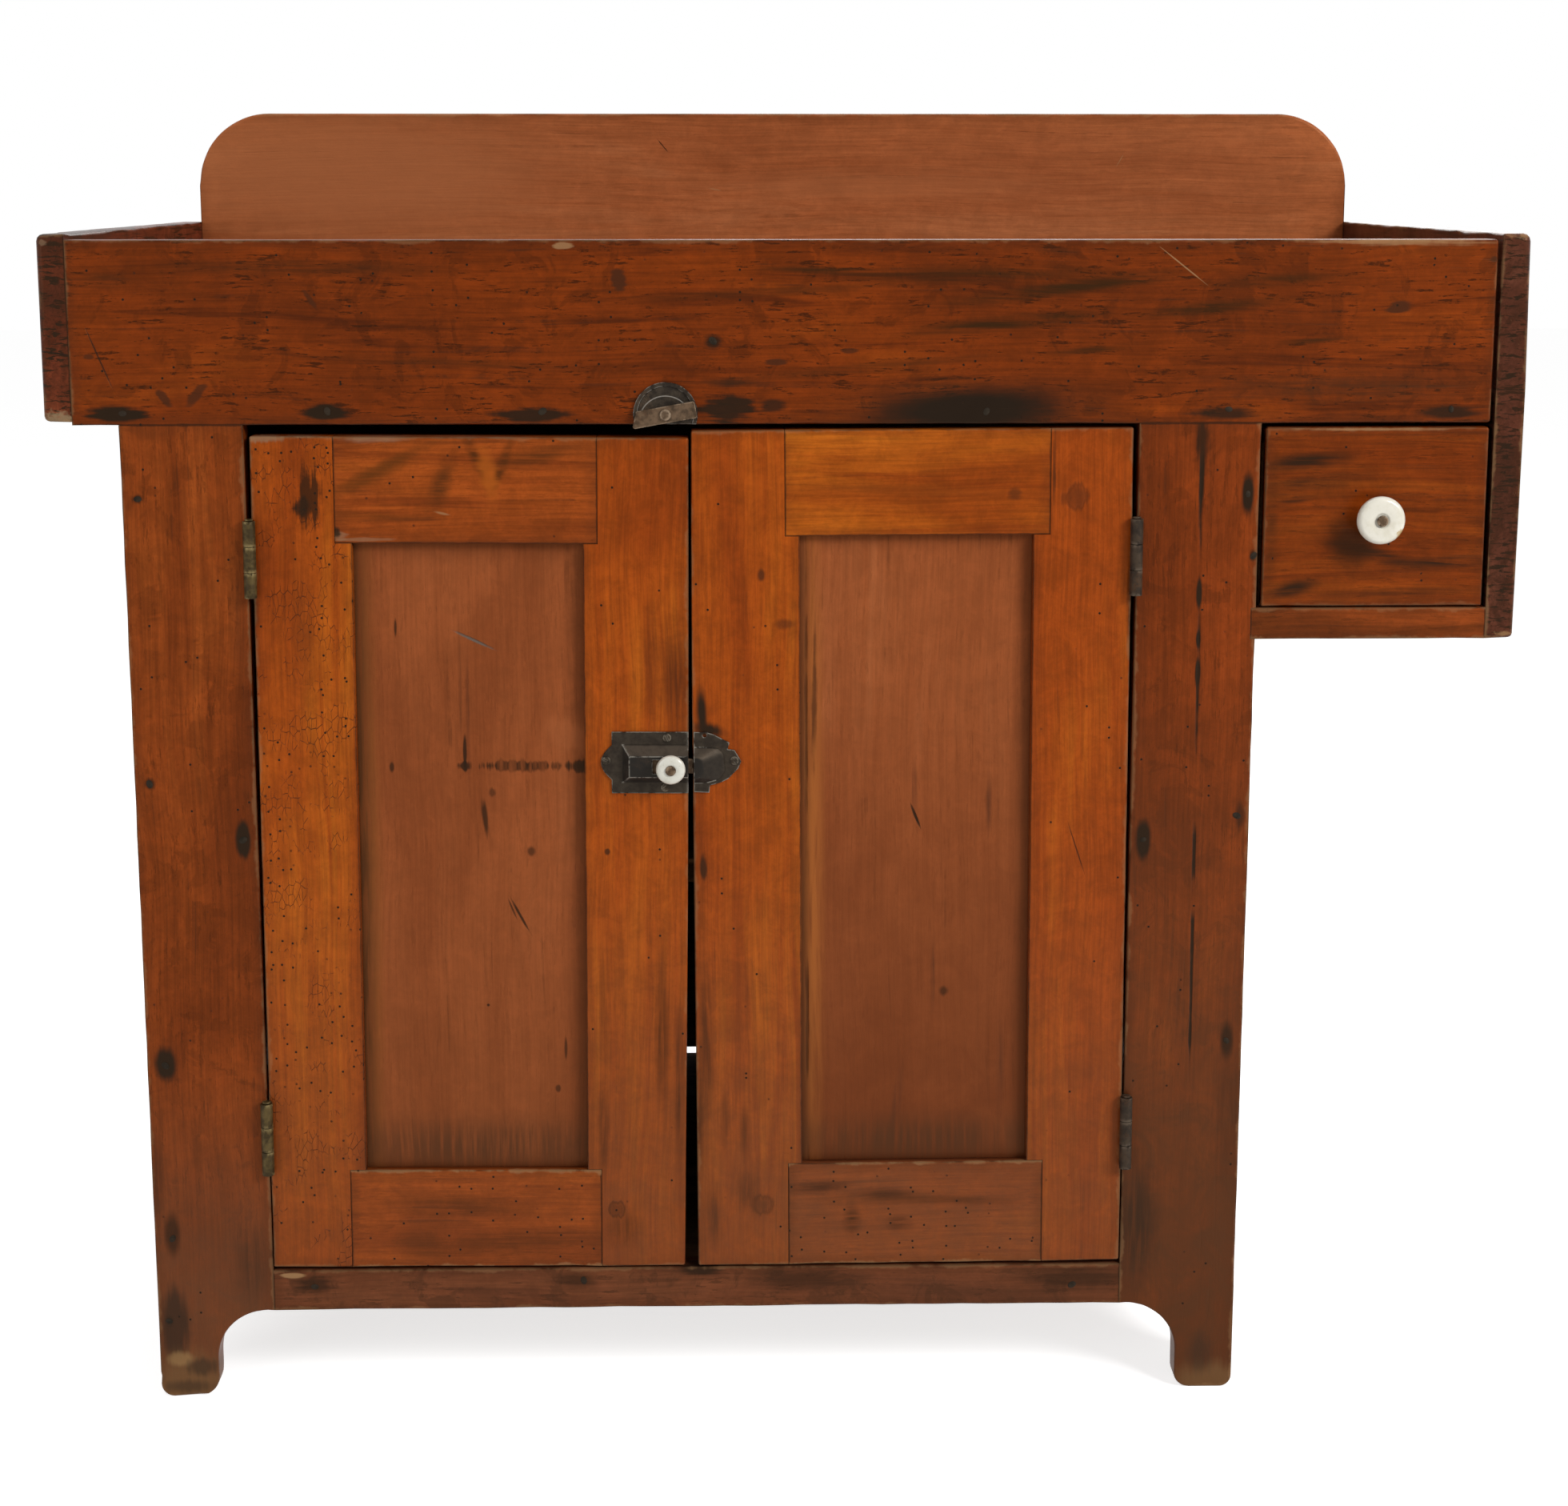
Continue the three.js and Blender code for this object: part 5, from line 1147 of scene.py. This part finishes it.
def porcelainMaterial(name, glaze):
    paint = Paint(bpy.data.materials.new(name))
    place = paint.place()
    cloud = paint.noise(place, 120.0, 3.0, 0.6)
    color = paint.mix(glaze["white"], glaze["cream"], cloud.ramp(0.4, 0.7))
    specks = paint.noise(place, 1500.0, 2.0).ramp(0.70, 0.76) * glaze["specks"]
    color = paint.mix(color, glaze["dirt"], specks)
    if "chip" in glaze:
        near = paint.reach(place, glaze["chip"], (glaze["chipSize"],) * 3)
        near = near + (paint.noise(place, 500.0, 3.0, 0.6) - 0.5) * 1.2
        color = paint.mix(color, glaze["clay"], near.ramp(0.8, 1.1, 0.9, 0.0))
    return paint.finish(color, 0.16 + 0.12 * cloud, cloud, 0.0001, coat=0.4, coatRoughness=0.05)


def turnedKnob(name, knob, material):
    low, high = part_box(knob["node"])
    x, z = (low.x + high.x) / 2, (low.z + high.z) / 2
    radius, reach = knob["profile"][0]
    bpy.ops.object.select_all(action="DESELECT")
    bpy.ops.mesh.primitive_plane_add(size=0.001, location=(x + radius, doorFace - reach, z))
    piece = added(name)
    with editing(piece):
        bpy.ops.mesh.select_mode(type="VERT")
        bpy.ops.mesh.merge(type="CENTER")
        for before, after in zip(knob["profile"], knob["profile"][1:]):
            way = (after[0] - before[0], before[1] - after[1], 0)
            bpy.ops.mesh.extrude_vertices_move(TRANSFORM_OT_translate={"value": way})
        bpy.ops.mesh.select_all(action="SELECT")
        bpy.ops.mesh.spin(steps=72, angle=2 * math.pi, center=(x, doorFace, z), axis=(0, 1, 0))
        bpy.ops.mesh.select_all(action="SELECT")
        bpy.ops.mesh.remove_doubles(threshold=0.00002)
        turnOutward()
    settle()
    bpy.ops.object.shade_smooth_by_angle(angle=math.radians(50))
    finishPiece(piece, knob["body"], "porcelain", material, knob["node"])


def rounded(profile, steps=5):  # softens the corners of an open profile of (radius, reach)
    smooth = [profile[0]]
    for before, corner, after in zip(profile, profile[1:], profile[2:]):
        a, b, c = (Vector((*p, 0)) for p in (before, corner, after))
        cut = min((a - b).length, (c - b).length) * 0.45
        start, end = b + (a - b).normalized() * cut, b + (c - b).normalized() * cut
        for i in range(steps + 1):
            t = i / steps
            point = start.lerp(b, t).lerp(b.lerp(end, t), t)
            smooth.append((point.x, point.y))
    smooth.append(profile[-1])
    return smooth


glazes = {
    "drawer": {"white": (0.68, 0.645, 0.55), "cream": (0.62, 0.58, 0.47), "dirt": (0.20, 0.15, 0.09),
               "specks": 0.0, "chip": (0.4766, -0.2835, 0.7192), "chipSize": 0.0050,
               "clay": (0.42, 0.28, 0.10)},
    "latch": {"white": (0.62, 0.60, 0.52), "cream": (0.52, 0.50, 0.41), "dirt": (0.05, 0.04, 0.03),
              "specks": 0.9},
}
drawerKnob = {
    "node": "drawer_knob", "body": "drawer",
    "profile": [(0.00285, 0.0), *rounded([
        (0.0104, 0.0), (0.0102, 0.0015), (0.0084, 0.0045), (0.0086, 0.0075), (0.0135, 0.0128),
        (0.0178, 0.0160), (0.0189, 0.0190), (0.0186, 0.0215), (0.0165, 0.0240), (0.0110, 0.0248),
        (0.0062, 0.0245), (0.0050, 0.0236)]), (0.00285, 0.0236)],
}
latchKnob = {
    "node": "latch_knob", "body": "latch",
    "profile": [(0.0023, 0.0071), *rounded([
        (0.0050, 0.0071), (0.0050, 0.0098), (0.0060, 0.0125), (0.0095, 0.0160), (0.0114, 0.0180),
        (0.0117, 0.0198), (0.0108, 0.0218), (0.0080, 0.0229), (0.0046, 0.0228)]), (0.0023, 0.0224)],
}
turnedKnob("drawer_knob_turned", drawerKnob, porcelainMaterial("drawer_glaze", glazes["drawer"]))
turnedKnob("latch_knob_turned", latchKnob, porcelainMaterial("latch_glaze", glazes["latch"]))
print("knobs turned")


# Nails and screws

def rod(name, vertices, radius, length, y):
    bpy.ops.object.select_all(action="DESELECT")
    bpy.ops.mesh.primitive_cylinder_add(vertices=vertices, radius=radius, depth=length, location=(0, y, 0),
                                        rotation=lyingAlongY)
    piece = added(name)
    settle()
    return piece


def nailHead(radius):
    piece = rod("nail_head", 9, radius, 0.003, doorFace + 0.0012)
    with editing(piece, "DESELECT"):
        choose(piece, "faces", lambda side: side.normal.y < -0.9)
        bpy.ops.mesh.inset(thickness=radius * 0.28, depth=0.0)
        bpy.ops.transform.translate(value=(0, -0.0003, 0))
        bpy.ops.mesh.select_all(action="SELECT")
        bpy.ops.transform.resize(value=(1.0, 1.0, 0.72), center_override=(0, doorFace, 0))
    bpy.ops.object.shade_smooth_by_angle(angle=math.radians(35))
    return piece


def copyTo(model, name, x, z, turn, size=1.0):
    piece = model.copy()
    piece.data = model.data.copy()
    piece.name = piece.data.name = name
    bpy.context.scene.collection.objects.link(piece)
    piece.location, piece.rotation_euler, piece.scale = (x, 0, z), (0, turn, 0), (size, 1, size)
    selectOnly(piece)
    settle()
    return piece


def joinPieces(name, pieces, body, material):
    selectOnly(*pieces)
    if len(pieces) > 1:
        bpy.ops.object.join()
    piece = added(name)
    finishPiece(piece, body, "iron", material)


nails = {
    "radius": 0.0032,
    "tray": [(-0.5138, 0.8126), (-0.3562, 0.8141), (-0.1902, 0.8137), (-0.0580, 0.8678), (0.1543, 0.8130),
             (0.3434, 0.8144), (0.5175, 0.8141)],
    "stiles": [(-0.5051, 0.7461), (-0.5055, 0.5192), (-0.4334, 0.4732), (-0.5026, 0.2860), (-0.5029, 0.1382),
               (-0.5085, 0.0665), (0.3605, 0.7480), (0.2848, 0.4697), (0.3567, 0.3011), (0.3664, 0.6992),
               (0.3595, 0.4891)],
    "apron": [(-0.3883, 0.0954), (-0.1678, 0.0989), (0.2348, 0.0915)],
}
heads, model = [], nailHead(nails["radius"])
for group in ("tray", "stiles", "apron"):
    for i, (x, z) in enumerate(nails[group]):
        heads.append(copyTo(model, f"nail_{group}_{i}", x, z, i * 1.3, 1 + 0.15 * math.sin(7 * i)))
bpy.data.objects.remove(model)
joinPieces("nail_heads", heads, "cabinet", metalPaints["nail"])


def screwHead(plateFace, radius):
    piece = rod("screw_head", 28, radius, 0.0012, plateFace - 0.0001)
    setBevel(piece, 0.0004, 2, limit_method="ANGLE", angle_limit=math.radians(40))
    applyAll(piece)
    bpy.ops.mesh.primitive_cube_add(size=1.0, location=(0, plateFace - 0.0008, 0))
    bpy.context.object.scale = (radius * 2.4, 0.0009, radius * 0.26)
    combine(piece, bpy.context.object, "DIFFERENCE")
    ageMetal(piece, 0.0001, 3, 0.00004)
    return piece


screws = {
    "radius": 0.0034, "plateFace": doorFace - keeper["plate"],
    "latch_screws": ("left_door", [(-0.1440, 0.5369, 0.5), (-0.0958, 0.5552, 1.2), (-0.0975, 0.5150, -0.7)]),
    "keeper_screw": ("right_door", [(-0.0425, 0.5365, 0.9)]),
}
model = screwHead(screws["plateFace"], screws["radius"])
for name in ("latch_screws", "keeper_screw"):
    body, places = screws[name]
    heads = [copyTo(model, f"{name}_{i}", x, z, turn) for i, (x, z, turn) in enumerate(places)]
    joinPieces(name, heads, body, metalPaints["screw"])
bpy.data.objects.remove(model)
print("nails and screws made")


# Floor, light and camera

white = (1, 1, 1, 1)


def floorMaterial():
    paint = Paint(bpy.data.materials.new("pale_floor"))
    plain = paint.node("ShaderNodeBsdfDiffuse", {}, {"Color": (0.82, 0.82, 0.82, 1.0)})
    glow = paint.node("ShaderNodeEmission", {}, {"Color": white, "Strength": 0.72})
    both = paint.node("ShaderNodeAddShader", {}, {0: plain, 1: glow})
    mixed = paint.node("ShaderNodeMixShader", {}, {0: paint.seen(), 1: plain, 2: both})
    paint.node("ShaderNodeOutputMaterial", {}, {"Surface": mixed})
    return paint.owner


bpy.ops.object.select_all(action="DESELECT")
bpy.ops.mesh.primitive_plane_add(size=30.0, location=(0, 0, -0.0003))
floor = bpy.context.object
floor.name = "floor"
floor.data.materials.append(floorMaterial())

world = bpy.data.worlds.new("studio")
bpy.context.scene.world = world
paint = Paint(world)
room, sky = (paint.node("ShaderNodeBackground", {}, {"Color": white, "Strength": strength})
             for strength in (0.32, 1.0))
lit = paint.node("ShaderNodeMixShader", {}, {0: paint.seen(), 1: room, 2: sky})
paint.node("ShaderNodeOutputWorld", {}, {"Surface": lit})

lamps = {
    "key": {"at": (2.7, -2.5, 2.5), "toward": (0.0, 0.0, 0.5), "size": (1.5, 1.2), "watts": 120},
    "fill": {"at": (-2.4, -2.4, 1.5), "toward": (0.0, 0.0, 0.5), "size": (2.0, 1.6), "watts": 22},
    "top": {"at": (0.0, 0.2, 3.0), "toward": (0.0, 0.0, 0.6), "size": (2.4, 1.2), "watts": 24},
    "rear": {"at": (0.8, 3.0, 1.8), "toward": (0.0, 0.0, 0.5), "size": (2.0, 1.4), "watts": 30},
}
for name, lamp in lamps.items():
    data = bpy.data.lights.new(name, "AREA")
    data.shape, data.size, data.size_y, data.energy = "RECTANGLE", *lamp["size"], lamp["watts"]
    light = bpy.data.objects.new(name, data)
    bpy.context.scene.collection.objects.link(light)
    light.location = lamp["at"]
    light.rotation_euler = (Vector(lamp["toward"]) - Vector(lamp["at"])).to_track_quat("-Z", "Y").to_euler()

view = {"at": (-0.04546, -2.28394, 0.99284), "pitch": 10.0926, "yaw": 1.2014, "lens": 59.82,
        "shiftY": -0.0719}
cameraData = bpy.data.cameras.new("camera")
cameraData.lens, cameraData.sensor_width, cameraData.shift_y = view["lens"], 36.0, view["shiftY"]
camera = bpy.data.objects.new("camera", cameraData)
bpy.context.scene.collection.objects.link(camera)
camera.location = view["at"]
camera.rotation_euler = (math.radians(90 - view["pitch"]), 0, math.radians(-view["yaw"]))
bpy.context.scene.camera = camera
bpy.context.scene.view_settings.view_transform = "Standard"
print("light and camera set")
